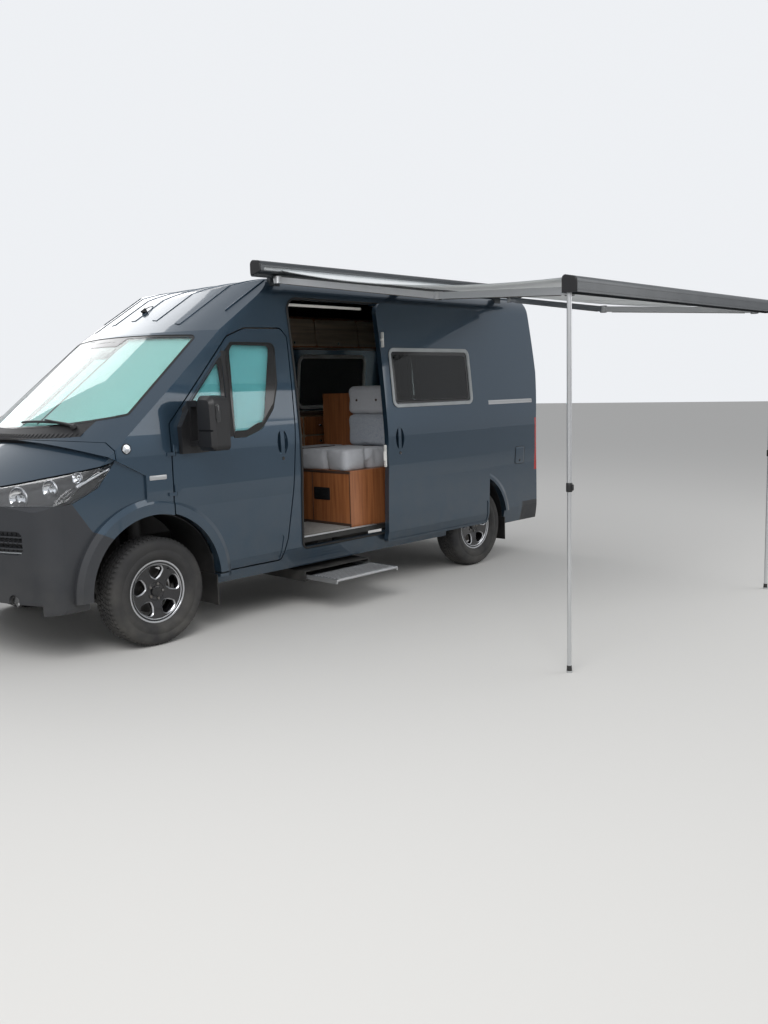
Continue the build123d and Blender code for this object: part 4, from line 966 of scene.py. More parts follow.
    def build(self) -> None:
        """Make the whole wheel."""
        self.tyre()
        self.rim()


def metres(rows: Sequence[Point]) -> list[Point]:
    """Corner rows in millimetres turned into metres."""
    return [tuple(value / 1000 for value in row) for row in rows]


def even(outline: Sequence[Flat], count: int) -> list[Flat]:
    """The same closed outline as a given number of points, evenly spaced from its first point."""
    spots = [Vector(spot) for spot in outline]
    spots.append(spots[0])
    run = [0.0]
    for i in range(1, len(spots)):
        run.append(run[-1] + (spots[i] - spots[i - 1]).length)
    found, i = [], 1
    for k in range(count):
        goal = run[-1] * k / count
        while run[i] < goal:
            i += 1
        spot = spots[i - 1].lerp(spots[i], (goal - run[i - 1]) / max(run[i] - run[i - 1], 1e-9))
        found.append((spot.x, spot.y))
    return found


def crossing(outline: Sequence[Flat], u: float) -> Flat:
    """Lowest and highest v of an outline at u."""
    found = []
    for (ua, va), (ub, vb) in zip(outline, list(outline[1:]) + [outline[0]]):
        if (ua - u) * (ub - u) <= 0 and ua != ub:
            found.append(va + (vb - va) * (u - ua) / (ub - ua))
    return (min(found), max(found)) if found else (outline[0][1], outline[0][1] + 0.01)


@dataclass
class Glazing:
    """Black borders and seals round the panes, pleated blinds and the windscreen's fittings.

    Args:
        quarter: Corner rows of the cab door's small front pane, in millimetres.
        quarter_clear: Corner rows of what its black border leaves clear.
        main: Corner rows of the cab door's main pane.
        main_clear: Corner rows of what its border leaves clear.
        surround: Corner rows of the black trim in front of the small pane.
        sliding_window: x and z range of the sliding door's window.
        right_windows: The same for both windows on the right.
        rear_pane: y and z range of one rear pane, in metres.
        screen: Half width, side and middle level of the screen's lower edge, then of its upper edge.
        pleat: Width of one pleat.
    """

    quarter: tuple = ((278, 1392, 18), (628, 1348, 12), (628, 1925, 18), (278, 1545, 30))
    quarter_clear: tuple = ((300, 1428, 10), (590, 1392, 8), (590, 1868, 8), (300, 1553, 10))
    main: tuple = ((664, 1338, 12), (780, 1340, 60), (925, 1390, 60), (1048, 1530, 70), (1105, 1700, 90),
                   (1122, 2008, 50), (718, 2008, 20), (664, 1952, 10))
    main_clear: tuple = ((682, 1362, 8), (795, 1375, 50), (905, 1402, 30), (952, 1465, 30), (1000, 1700, 60),
                         (1062, 1982, 20), (732, 1985, 14), (703, 1940, 10))
    surround: tuple = ((256, 1400, 6), (270, 1400, 3), (270, 1549, 20), (632, 1941, 6), (640, 2014, 12),
                       (574, 1962, 40),
                       (262, 1622, 30), (256, 1560, 20))
    sliding_window: tuple = (1385 + 865, 2425 + 865, 1500, 1975)
    right_windows: tuple = ((1500, 2300, 1500, 1975), (3050, 3950, 1500, 1975))
    rear_pane: tuple = (0.110, 0.671, 1.480, 2.020)
    screen: tuple = (0.898, 0.345, 0.014, 0.826, 1.165, 1.040)
    pleat: float = 0.0095

    def border(self, wide: float, thick: float = 0.0012, start: float = 0.0) -> list[Flat]:
        """Section of a flat border of a given width."""
        return [(start, 0.0004), (start, thick), (start + wide, thick), (start + wide, 0.0004)]

    @staticmethod
    def seal_section(inner: float = 0.007) -> list[Flat]:
        """Section of the rubber lip round a pane."""
        return [(-0.006, 0.0035), (-0.006, 0.006), (0.004, 0.0058), (inner, 0.0012), (inner - 0.004, 0.0006)]

    def cab_side(self, side: Side) -> None:
        """Black border, rubber edge, front trim and pleated blind of one cab door's panes."""
        body = "cab_door_" + side.word
        skin = Skin("cab_door_glass_" + side.word)
        place = skin.side(side)
        border, seal = Shape(), Shape()
        for rows, clear in ((self.quarter, self.quarter_clear), (self.main, self.main_clear)):
            outer = even(rounded_outline(metres(rows), 0.001), 96)
            inner = even(rounded_outline(metres(clear)), 96)
            border.rings([[place(u, v, lift) for u, v in outline] for outline, lift in
                          ((outer, 0.0004), (outer, 0.0012), (inner, 0.0012), (inner, 0.0004))], loop=True)
            seal.frame(metres(rows), self.seal_section(), place, 0.03)
        border.piece("pane_border_" + body, GLOSS_BLACK, body)
        seal.piece("pane_seal_" + body, RUBBER, body)
        door = Skin(body).side(side)
        trim = Shape().panel(metres(self.surround), mm(0, 0.4, 0, 1.8, 3, 2.6), door, 0.03)
        trim.panel(square(0.629, 0.663, 1.352, 1.945, 0.004), mm(0, 0.4, 0, 2.2, 4, 4), door, 0.05)
        trim.piece("pane_trim_" + body, BLACK, body)
        outlines = [rounded_outline(metres(rows), 0.003) for rows in (self.quarter, self.main)]
        self.pleats("cab_door_blind_" + side.word, body, outlines,
                    Skin("cab_door_blind_" + side.word).side(side), BLIND)

    def pleats(self, blind: str, body: str, outlines: Sequence[Sequence[Flat]], place: Placer,
               finish: Finish) -> None:
        """Pleated cloths in place of one CAD blind, one for each outline, with their folds along v.

        Args:
            blind: CAD node that the cloth stands for.
            body: Body that it rides on.
            outlines: Outline of each cloth in the placer's u and v.
            place: Placer on the CAD blind's outer face.
            finish: Finish of the cloth.
        """
        whole, reach = Shape(), 0.0
        for outline in outlines:
            first, last = min(spot[0] for spot in outline) + 0.001, max(spot[0] for spot in outline) - 0.001
            count = round((last - first) / self.pleat)
            reach += last - first
            folds = []
            for k in range(2 * count + 1):
                u = first + (last - first) * k / (2 * count)
                low, high = crossing(outline, u)
                folds.append([place(u, low + (high - low) * t, -0.0005 if k % 2 else -0.0036)
                              for t in shares(8)])
            whole.net(folds)
        mesh = whole.mesh("blind")
        cloth = settle(mesh, "pleated_" + blind, finish, body, 20.0)
        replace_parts(cloth, blind)

    def living_windows(self) -> None:
        """Pale frames, black borders, gutters and catches of the living space's windows."""
        left, right = Skin("side_windows", "sliding_door"), Skin("side_windows", "side_wall_right")
        for name, side, row in (("sliding", Side.LEFT, self.sliding_window),
                                ("right_front", Side.RIGHT, self.right_windows[0]),
                                ("right_rear", Side.RIGHT, self.right_windows[1])):
            x0, x1, z0, z1 = (value / 1000 for value in row)
            place = (left if side is Side.LEFT else right).side(side)
            corners = square(x0, x1, z0, z1, 0.055)
            frame_shape = Shape().frame(corners, mm(-4, 3, -3, 10, 4, 13, 20, 12, 26, 7, 26, 0.4),
                                        place, 0.06)
            frame_shape.piece("window_frame_" + name, FRAME_GREY)
            part = Shape().frame(corners, self.border(0.030, 0.0012, 0.024), place, 0.06)
            part.piece("window_border_" + name, GLOSS_BLACK)
            middle = (x0 + x1) / 2
            rail = [place(x0 + 0.06 + (x1 - x0 - 0.12) * t, z0 + 0.046, 0.004) for t in shares(12)]
            Shape().tube(rail, 0.0035, 6).piece("window_gutter_" + name, RUBBER)
            latch = Shape()
            for x in (middle - 0.22, middle + 0.22):
                spot = place(x, z0 + 0.075, -0.012) - Van.origin
                near, far = sorted((spot.y, spot.y - side.value * 0.012))
                latch.box(spot.x - 0.02, spot.x + 0.02, near, far, spot.z - 0.015, spot.z + 0.015, 0.004)
            latch.piece("window_catches_" + name, BLACK)

    def rear_windows(self) -> None:
        """Seal, border and heater lines of each rear pane."""
        y0, y1, z0, z1 = self.rear_pane
        for side in Side:
            body = "rear_door_" + side.word
            place = Skin("rear_door_glass_" + side.word).rear()
            low, high = sorted((y0 * side.value, y1 * side.value))
            corners = square(low, high, z0, z1, 0.05)
            Shape().frame(corners, self.seal_section(0.008), place).piece("pane_seal_" + body, RUBBER, body)
            part = Shape().frame(corners, self.border(0.036, start=0.001), place)
            part.piece("pane_border_" + body, GLOSS_BLACK, body)
            wires = Shape()
            for k in range(9):
                z = z0 + 0.07 + k * (z1 - z0 - 0.14) / 8
                wires.tube([place(low + 0.045 + (high - low - 0.09) * j / 6, z, -0.0062) for j in range(7)],
                           0.0006, 4)
            wires.piece("heater_lines_" + body, COPPER, body)

    def windscreen(self) -> None:
        """Frit, sensor housing, blinds with their bars, and the screen's seal."""
        place = Skin("windscreen").slope()
        outer = self.screen_corners()
        Shape().frame(outer, self.border(0.022, start=0.002), place, 0.04).piece("screen_border", GLOSS_BLACK)
        part = Shape().frame(outer, mm(-7, 3, -7, 5.5, 2, 5.5, 5, 1, 1, 0.4), place, 0.04)
        part.piece("screen_seal", RUBBER)
        patch = [(-0.185, 0.930, 0.01), (0.185, 0.930, 0.01), (0.222, 1.036, 0.01), (-0.222, 1.036, 0.01)]
        part = Shape().panel(patch, mm(0, 0.6, 0, 1.4, 30, 1.4, 50, 1.4), place, 0.03)
        part.piece("screen_sensor_patch", GLOSS_BLACK)
        housing = [(-0.165, 0.815, 0.02), (0.165, 0.815, 0.02), (0.215, 1.030, 0.02), (-0.215, 1.030, 0.02)]
        part = Shape().panel(housing, mm(0, -30, 0, -12, 6, -8, 30, -7), place, 0.04)
        part.piece("screen_sensor_housing", BLACK)
        self.screen_blinds(outer)

    def screen_blinds(self, outer: Sequence[Point]) -> None:
        """Two pleated cloths that meet in the middle, with their closing and guide bars."""
        edge = rounded_outline(outer, 0.004, step=0.04)
        halves = [[(max(u, 0.012), v) for u, v in edge if u > -0.02],
                  [(min(u, -0.012), v) for u, v in edge if u < 0.02]]
        blind = Skin("windscreen_blind").slope()
        self.pleats("windscreen_blind", "van_body", halves, blind, SCREEN_BLIND)
        bars = Shape()
        for y, radius in mm(-11, 9, 11, 9, -185, 4.5, 185, 4.5):
            bars.tube([blind(y + 0.004 * (y > 0) - 0.004 * (y < 0), 0.10 + k * 0.09, 0.004)
                       for k in range(10)], radius, 8)
        bars.piece("screen_blind_bars", BLACK)

    def screen_corners(self) -> list[Point]:
        """Outline of the windscreen on its slope, its lower and upper edges arcs of a circle."""
        half_low, side_low, middle_low, half_high, side_high, middle_high = self.screen

        def edge(half: float, side: float, middle: float, order: Sequence[int]) -> list[Point]:
            """Arc over one edge, from its half width and its levels at the side and in the middle."""
            sag = side - middle
            radius = (half * half + sag * sag) / (2 * sag)
            spots = [half * k / 8 for k in order]
            return [(y, middle + radius - math.copysign(math.sqrt(radius ** 2 - y ** 2), radius), 0.0)
                    for y in spots]

        low = edge(half_low, side_low, middle_low, range(-8, 9))
        high = edge(half_high, side_high, middle_high, range(8, -9, -1))
        corner = 0.045
        return ([(*low[0][:2], corner)] + low[1:-1] + [(*low[-1][:2], corner)]
                + [(*high[0][:2], corner)] + high[1:-1] + [(*high[-1][:2], corner)])

    def wipers(self) -> None:
        """Two wiper arms with blades lying low on the windscreen."""
        place = Skin("windscreen", "cowl", "bonnet", "wings").slope()

        def run(first: Flat, last: Flat, steps: Sequence[float], lift: float,
                rise: float = 0.0) -> list[Vector]:
            """Points over the screen between two places, at a lift that may grow on the way."""
            return [place(first[0] + (last[0] - first[0]) * t, first[1] + (last[1] - first[1]) * t,
                          lift + rise * t)
                    for t in steps]

        for name, pivot, bend, tip in (("left", (-0.62, 0.115), (-0.34, 0.105), (-0.05, 0.075)),
                                       ("right", (0.17, -0.035), (0.40, 0.050), (0.66, 0.215))):
            arm = Shape()
            base = place(pivot[0], pivot[1], 0.004)
            arm.lathe(mm(0, 21, 16, 20, 24, 15, 26, 6), base, Slope.normal, 20)
            arm.tube(run(pivot, bend, (0, 0.3, 0.6, 1.0), 0.020, 0.012), [0.0105, 0.009, 0.0075, 0.006], 8)
            start = (bend[0] - (tip[0] - bend[0]) * 0.85, bend[1] - (tip[1] - bend[1]) * 0.85)
            arm.tube(run(start, tip, shares(10), 0.013), [0.004] + [0.0085] * 9 + [0.004], 8)
            arm.tube(run(start, tip, shares(10), 0.0045), 0.0030, 4)
            arm.piece("wiper_" + name, BLACK)

    def build(self) -> None:
        """Make every pane's fittings."""
        for side in Side:
            self.cab_side(side)
        self.living_windows()
        self.rear_windows()
        self.windscreen()
        self.wipers()


@dataclass
class FrontEnd:
    """Lamps, grilles, cowl, plates and small parts of the nose."""

    fog_y: float = 0.700
    fog_z: float = 0.410
    lamp_wall: float = 0.003
    lamp_depth: float = 0.034
    outward: float = 0.35

    def layer(self, inward: float, name: str, finish: Finish) -> Object:
        """Layer that follows the outward faces of the CAD headlamps at some depth."""
        work = bmesh.new()
        work.from_mesh(Van.object("headlamps").data)
        bmesh.ops.remove_doubles(work, verts=work.verts, dist=1e-5)
        work.normal_update()
        hidden = [face for face in work.faces
                  if face.normal.dot(self.away(face.calc_center_median() - Van.origin)) <= self.outward]
        bmesh.ops.delete(work, geom=hidden, context="FACES")
        work.normal_update()
        moves = [(vertex, vertex.normal.copy()) for vertex in work.verts]
        for vertex, normal in moves:
            vertex.co = vertex.co - normal * inward
        bmesh.ops.solidify(work, geom=work.faces[:], thickness=self.lamp_wall)
        mesh = bpy.data.meshes.new(name)
        work.to_mesh(mesh)
        work.free()
        return settle(mesh, name, finish, "van_body", 30.0)

    def headlamps(self) -> None:
        """Clear covers over black housings with chrome bowls, replacing the plain CAD lamps."""
        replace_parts(self.layer(0.0, "headlamp_covers", LENS), "headlamps")
        self.layer(self.lamp_depth, "headlamp_housings", BLACK)
        for side in Side:
            self.bowls(side)

    @staticmethod
    def away(spot: Vector) -> Vector:
        """Direction that points out of the nose at a lamp."""
        return Vector((-0.62, 0.72 if spot.y > 0 else -0.72, 0.35)).normalized()

    def bowls(self, side: Side) -> None:
        """Chrome bowls, inner lenses and the light bar of one lamp."""
        skin = Skin("headlamps")
        chrome, clear, dark = Shape(), Shape(), Shape()
        for y, z, radius in ((0.700, 1.045, 0.062), (0.835, 1.095, 0.050), (0.925, 1.155, 0.034)):
            surface = skin.front()(y * side.value, z, 0.0)
            level = Vector((-0.9, 0.35 * side.value, 0)).normalized()
            centre = surface + level * -0.012
            bowl = [(-0.019, radius * 0.45), (-0.012, radius * 0.8), (0.0, radius), (0.002, radius * 1.03),
                    (-0.004, radius * 1.04), (-0.026, radius * 0.55)]
            lens = [(-0.010, radius * 0.42), (-0.002, radius * 0.36), (0.003, radius * 0.22), (0.0045, 0.002)]
            ring = [(-0.004, radius * 1.04), (0.001, radius * 1.12), (-0.006, radius * 1.16)]
            chrome.lathe([(-0.020, 0.010)] + bowl + [(-0.026, 0.010)], centre, level, 32, loop=True)
            clear.lathe(lens, centre, level, 24)
            dark.lathe(ring, centre, level, 32, loop=True)
        chrome.piece("headlamp_bowls_" + side.word, CHROME)
        clear.piece("headlamp_lenses_" + side.word, LENS)
        dark.piece("headlamp_rings_" + side.word, MACHINED)
        place = skin.side(side)
        bar = Shape().tube([place(-0.52 + 0.22 * t, 1.105 + 0.10 * t, -0.010) for t in shares(8)], 0.008, 8)
        bar.piece("headlamp_indicator_" + side.word, CHROME)

    def grilles(self) -> None:
        """Uprights and pale lips of the nose intakes, and the fog lamps."""
        skin = Skin("bumpers")
        front = skin.front()
        backs = Shape()
        for y0, y1, z0, z1 in ((-0.31, 0.31, 0.815, 0.92), (-0.41, 0.41, 0.485, 0.585),
                               (0.485, 0.785, 0.72, 0.835), (-0.785, -0.485, 0.72, 0.835)):
            for y in (y0 + (y1 - y0) * k / 8 for k in range(1, 8)):
                backs.tube([front(y, z0 + (z1 - z0) * t, 0.0015) for t in shares(4)], 0.0045, 6)
        backs.piece("intake_uprights", BLACK)
        lips = Shape()
        for sign in (-1, 1):
            lips.tube([front(sign * (0.51 + 0.25 * k / 10), 0.708 + 0.004 * k / 10, 0.005)
                       for k in range(11)], 0.0055, 8)
            lips.tube([front(sign * (0.62 + 0.09 * k / 6), 0.352, 0.004) for k in range(7)], 0.0045, 8)
        lips.piece("intake_lips", FRAME_GREY)
        rims, glass = Shape(), Shape()
        for sign in (-1, 1):
            spot = front(sign * (self.fog_y + 0.047), self.fog_z, 0.0)
            centre = Vector((spot.x + 0.002, Van.at(0, sign * self.fog_y, 0).y, self.fog_z))
            aim = Vector((-0.97, sign * 0.24, 0.0)).normalized()
            rims.lathe(mm(-12, 40.5, 4, 41.5, 8, 38.5, 5, 34.5, -12, 33.5), centre, aim, 32, loop=True)
            glass.lathe(mm(-10, 34, 0, 33.8, 3.5, 24, 5, 4), centre, aim, 32)
        rims.piece("fog_lamp_rims", BLACK)
        glass.piece("fog_lamp_lenses", LENS)

    def cowl(self) -> None:
        """Louvres between the bonnet and the windscreen."""
        place = Skin("cowl").slope()
        louvre = Shape()
        for k in range(-20, 21):
            y = k * 0.036
            base = -0.075 + 0.20 * (abs(y) / 0.846) ** 2 * 0.95
            louvre.tube([place(y, base + 0.012 * j, 0.002) for j in range(4)], 0.004, 6)
        louvre.piece("cowl_louvres", BLACK)

    def plates(self) -> None:
        """Blank plate, its holder and the tow-eye cover."""
        front = Skin("bumpers").front()
        plate = square(-0.26, 0.26, 0.625, 0.735, 0.012)
        Shape().panel(plate, mm(0, 3, 0, 9, 2, 11), front, 0.08).piece("plate_blank_front", PALE_PLASTIC)
        Shape().frame(plate, mm(-8, 1, -8, 10, 3, 13, 4, 8), front, 0.08).piece("plate_holder_front", BLACK)
        cover = square(0.50, 0.56, 0.520, 0.575, 0.008)
        Shape().panel(cover, mm(0, 0, 0, 1.8, 2, 3), front, 0.02).piece("tow_eye_cover", BUMPER)

    def build(self) -> None:
        """Make the whole nose."""
        self.headlamps()
        self.grilles()
        self.cowl()
        self.plates()


@dataclass
class BodyShell:
    """Seals, gutters, lamps and small trim on the painted body."""

    repeater: Point = (-0.190, 1.320, 0.030)
    flap: tuple = (4.030, 4.170, 0.900, 1.060)
    badge: tuple = (-0.035, 0.095, 1.105, 1.135)

    def round_lamp(self, side: Side) -> None:
        """Clear repeater lamp on the wing, with its chrome inside."""
        place = Skin("wings", "side_wall_left", "side_wall_right", "headlamps").side(side)
        x, z, radius = self.repeater
        centre = place(x, z, 0.0)
        aim = (place(x, z, 0.01) - centre).normalized()
        for name, finish, profile in (
                ("ring", BLACK, ((-0.002, 1.15), (0.003, 1.13), (0.0045, 1.0), (-0.002, 0.95))),
                ("lens", LENS, ((-0.001, 1.0), (0.008, 0.92), (0.013, 0.6), (0.0145, 0.1))),
                ("bowl", CHROME, ((-0.002, 0.9), (0.0012, 0.86), (0.0048, 0.3), (0.005, 1 / 15)))):
            turned = [(along, radius * share) for along, share in profile]
            lamp = Shape().lathe(turned, centre, aim, 32, loop=name == "ring")
            lamp.piece(f"repeater_{name}_{side.word}", finish)

    def seal_lines(self) -> None:
        """Seals of both openings and the roof gutters."""
        seals = Shape()
        skin = Skin("side_wall_left", "floor_pan", "high_roof")
        x0, x1, z0, z1 = 1.290, 2.655, 0.478, 2.330
        corners = [(x0, z0, 0.03), (x1, z0, 0.03), (x1, z1, 0.09), (x0, z1, 0.09)]
        seals.frame(corners, mm(-16, 1.2, -15, 10, -6, 13, -2, 6, -2, 0.8), skin.side(Side.LEFT), 0.06)
        seals.piece("side_opening_seal", RUBBER)
        gutters = Shape()
        for side in Side:
            top = Skin("high_roof").top()
            gutters.tube([top(0.80 + (4.38 - 0.80) * t, side.value * 0.815, 0.004) for t in shares(60)],
                         0.0055, 6)
        gutters.piece("roof_gutters", PAINT)
        rear = Skin("side_wall_left", "side_wall_right", "high_roof", "bumpers").rear()
        ring = [(-0.781, 0.560, 0.025), (0.781, 0.560, 0.025), (0.781, 2.350, 0.09), (-0.781, 2.350, 0.09)]
        Shape().frame(ring, mm(-20, 1, -19, 6, -10, 8, -7, 2), rear, 0.08).piece("rear_opening_seal", RUBBER)

    def aerial(self) -> None:
        """Roof aerial: a rubber foot and a thin rod leaning back."""
        top = Skin("high_roof").top()
        foot = top(0.66, 0.0, 0.0)
        part = Shape().lathe(mm(0, 30, 6, 29, 16, 19, 30, 10, 34, 6), foot,
                             Vector((0.25, 0, 0.97)).normalized(), 20)
        part.piece("aerial_foot", RUBBER)
        tip = foot + Vector((0.20, 0.0, 0.022))
        steps = ((0.006, 0.026), (0.05, 0.045), (0.12, 0.06))
        path = [foot + Vector((x, 0, z)) for x, z in steps] + [tip + Vector((0, 0, 0.05))]
        Shape().tube(path, [0.004, 0.003, 0.0022, 0.0018], 8).piece("aerial_rod", BLACK)

    def trim(self) -> None:
        """Inlet flap, blank badges and rub strips."""
        left = Skin("side_wall_left", "wings", "cab_door_left", "sliding_door").side(Side.LEFT)
        x0, x1, z0, _ = self.flap
        corners = square(*self.flap, 0.02)
        Shape().panel(corners, mm(0, 0.5, 0, 3, 4, 4.5, 20, 5), left, 0.05).piece("inlet_flap", PAINT)
        part = Shape().frame(corners, mm(-5, 0.3, -5, 3, -1, 3, -1, 0.3), left, 0.05)
        part.piece("inlet_flap_seal", RUBBER)
        knob = left((x0 + x1) / 2, z0 + 0.03, 0.004)
        part = Shape().lathe(mm(0, 11, 4, 10.5, 5, 8, 3.5, 3), knob, Vector((0, -1, 0)), 20)
        part.piece("inlet_flap_lock", BLACK)
        for side in Side:
            wing = Skin("wings", "side_wall_" + side.word).side(side)
            part = Shape().panel(square(*self.badge, 0.006), mm(0, 0.4, 0, 1.8, 2, 2.6), wing, 0.03)
            part.piece("wing_badge_blank_" + side.word, ALUMINIUM)
        strip = Shape()
        for x0, x1 in ((1.47, 2.83), (4.02, 4.18)):
            wall = Skin("side_wall_right").side(Side.RIGHT)
            corners = square(x0, x1, 0.43, 0.585, 0.02)
            strip.panel(corners, mm(0, 0.5, 0, 6, 6, 10, 30, 10.5), wall, 0.08)
        strip.piece("rub_strips_right", BUMPER)

    def build(self) -> None:
        """Make all trim."""
        for side in Side:
            self.round_lamp(side)
        self.seal_lines()
        self.aerial()
        self.trim()


@dataclass
class Doors:
    """Handles, mirrors' glass and inner door fittings."""

    def handle(self, name: str, body: str, skin: Skin, side: Side, x: float, z: float) -> None:
        """Rim and lock of one recessed handle."""
        place = skin.side(side)
        hand = Shape()
        turns = [math.tau * k / 20 for k in range(20)]
        cup = [(x + 0.047 * math.cos(turn), z + 0.087 * math.sin(turn), 0.0) for turn in turns]
        hand.frame(cup, mm(-3, 0.6, -3, 2.2, 3, 2.2, 3, 0.6), place, 9.0)
        hand.piece("handle_rim_" + name, PAINT, body)
        spot = place(x, z - 0.118, 0.0)
        part = Shape().lathe(mm(-1, 13, 3, 12.5, 4, 10, 2.5, 3.5, 1.5, 2), spot, Vector((0, side.value, 0)),
                             20)
        part.piece("lock_" + name, GLOSS_BLACK, body)

    def mirror(self, side: Side) -> None:
        """Panes, their rims and the indicator of one mirror."""
        body = "cab_door_" + side.word
        skin = Skin("mirror_" + side.word)
        outer, inner = -1.318, -1.155
        if side is Side.RIGHT:
            outer, inner = 1.155, 1.318
        pane = [(outer, 1.430, 0.03), (inner, 1.430, 0.02), (inner, 1.622, 0.03), (outer, 1.618, 0.045)]
        wide = [(outer, 1.300, 0.03), (inner, 1.300, 0.02), (inner, 1.405, 0.02), (outer, 1.405, 0.03)]
        glass, rim = Shape(), Shape()
        for corners in (pane, wide):
            glass.panel(corners, mm(4, -1, 4, 2, 20, 2.4), skin.rear(1.2), 0.04)
            rim.frame(corners, mm(-2, -1, -1, 5, 4, 4.5, 6, 1), skin.rear(1.2), 0.04)
        glass.piece("mirror_glass_" + side.word, CHROME, body)
        rim.piece("mirror_rim_" + side.word, BLACK, body)
        place = skin.side(side)
        lens = square(0.292, 0.330, 1.47, 1.585, 0.012)
        part = Shape().panel(lens, mm(0, -1, 0, 3, 4, 6, 12, 7), place, 0.02)
        part.piece("mirror_indicator_" + side.word, LENS, body)

    def inner_latch(self) -> None:
        """Catches on the front edge of the open sliding door, its inner handle and its card."""
        bright = Shape()
        for z0, z1 in ((1.02, 1.20), (1.98, 2.10)):
            bright.box(2.1505, 2.1585, -1.080, -1.052, z0, z1, 0.003, 0.006)
            bright.box(2.136, 2.152, -1.074, -1.060, z0 + 0.05, z1 - 0.05, 0.003, 0.006)
        bright.piece("slide_door_catches", PALE_PLASTIC)
        handle = Shape().box(2.30, 2.335, -1.045, -1.012, 1.12, 1.42, 0.006, 0.012)
        handle.piece("slide_door_inner_handle", BLACK)
        card = Shape().panel(square(2.20, 3.46, 0.62, 1.40, 0.05), mm(0, 0, 0, 8, 8, 12, 50, 12),
                             Skin("sliding_door").across(-0.6, -1), 0.12)
        card.piece("slide_door_card", LINING)

    def build(self) -> None:
        """Make the fittings of all doors."""
        for side in Side:
            door = Skin("cab_door_" + side.word)
            self.handle("cab_" + side.word, "cab_door_" + side.word, door, side, 1.105, 1.285)
            self.mirror(side)
        self.handle("sliding", "van_body", Skin("sliding_door"), Side.LEFT, 2.300, 1.245)
        self.inner_latch()


@dataclass
class RearEnd:
    """Lamps, handle, plate and trim at the back."""

    def lamps(self) -> None:
        """Red, amber and clear parts of each tail lamp."""
        skin = Skin("tail_lamps")
        for side in Side:
            place = skin.rear()
            y0, y1 = sorted((0.850 * side.value, 0.985 * side.value))
            for name, z0, z1, finish in (("amber", 1.20, 1.30, AMBER), ("clear", 1.085, 1.18, LENS),
                                         ("lower", 0.85, 0.965, RED_LENS)):
                part = Shape().panel(square(y0, y1, z0, z1, 0.02), mm(0, 0.6, 0, 4, 6, 8, 20, 9.5), place,
                                     0.03)
                part.piece(f"tail_{name}_{side.word}", finish)

    def door_fittings(self) -> None:
        """Handle, plate, pressings, stop lamp and what the rear bumper carries."""
        left = Skin("rear_door_left").rear()
        right = Skin("rear_door_right").rear()
        for name, finish, corners, section, step in (
                ("rear_handle_base", BLACK, (-0.30, -0.12, 1.17, 1.29, 0.02),
                 mm(0, 0.6, 0, 6, 6, 10, 20, 10), 0.04),
                ("rear_handle", PAINT, (-0.275, -0.145, 1.235, 1.268, 0.01),
                 mm(0, 9, 0, 22, 5, 27, 10, 28), 0.04),
                ("plate_blank_rear", PALE_PLASTIC, (-0.68, -0.16, 0.86, 0.97, 0.012),
                 mm(0, 2, 0, 8, 2, 10), 0.1),
                ("plate_lamp_bar", BLACK, (-0.62, -0.22, 0.99, 1.03, 0.015),
                 mm(0, 0.6, 0, 16, 8, 24, 14, 24), 0.05)):
            Shape().panel(square(*corners), section, left, step).piece(name, finish, "rear_door_left")
        for side, place in ((Side.LEFT, left), (Side.RIGHT, right)):
            body = "rear_door_" + side.word
            lines = Shape()
            y0, y1 = sorted((0.15 * side.value, 0.70 * side.value))
            for z0, z1 in ((0.66, 0.82),) if side is Side.LEFT else ((0.66, 0.82), (1.09, 1.14)):
                lines.frame(square(y0, y1, z0, z1, 0.03), mm(0, 0.3, 2, 3, 10, 3, 14, 0.3), place, 0.06)
            lines.piece("pressings_" + body, PAINT, body)
        roof = Skin("high_roof", "side_wall_left", "side_wall_right").rear()
        part = Shape().panel(square(-0.17, 0.17, 2.385, 2.415, 0.01), mm(0, 0.6, 0, 8, 5, 12, 10, 12), roof,
                             0.05)
        part.piece("high_stop_lamp", RED_LENS)
        bumper = Skin("bumpers").rear()
        step = Shape().panel(square(-0.62, 0.62, 0.40, 0.47, 0.02), mm(0, 0.6, 0, 5, 6, 9, 30, 9), bumper,
                             0.08)
        step.piece("bumper_pad_rear", BLACK)
        dots = Shape()
        for sign in (-1, 1):
            for y in (0.30, 0.78):
                spot = bumper(sign * y, 0.445, 0.004)
                dots.lathe(mm(-2, 12, 4, 12, 5.5, 10, 5.5, 3), spot, Vector((1, 0, 0)), 16)
        dots.piece("parking_sensors_rear", BLACK)
        glow = Shape()
        for sign in (-1, 1):
            glow.panel(square(*sorted((sign * 0.64, sign * 0.76)), 0.404, 0.426, 0.006),
                       mm(0, 0.6, 0, 3, 3, 4.5), bumper, 0.03)
        glow.piece("reflectors_rear", RED_LENS)

    def build(self) -> None:
        """Make everything at the back."""
        self.lamps()
        self.door_fittings()


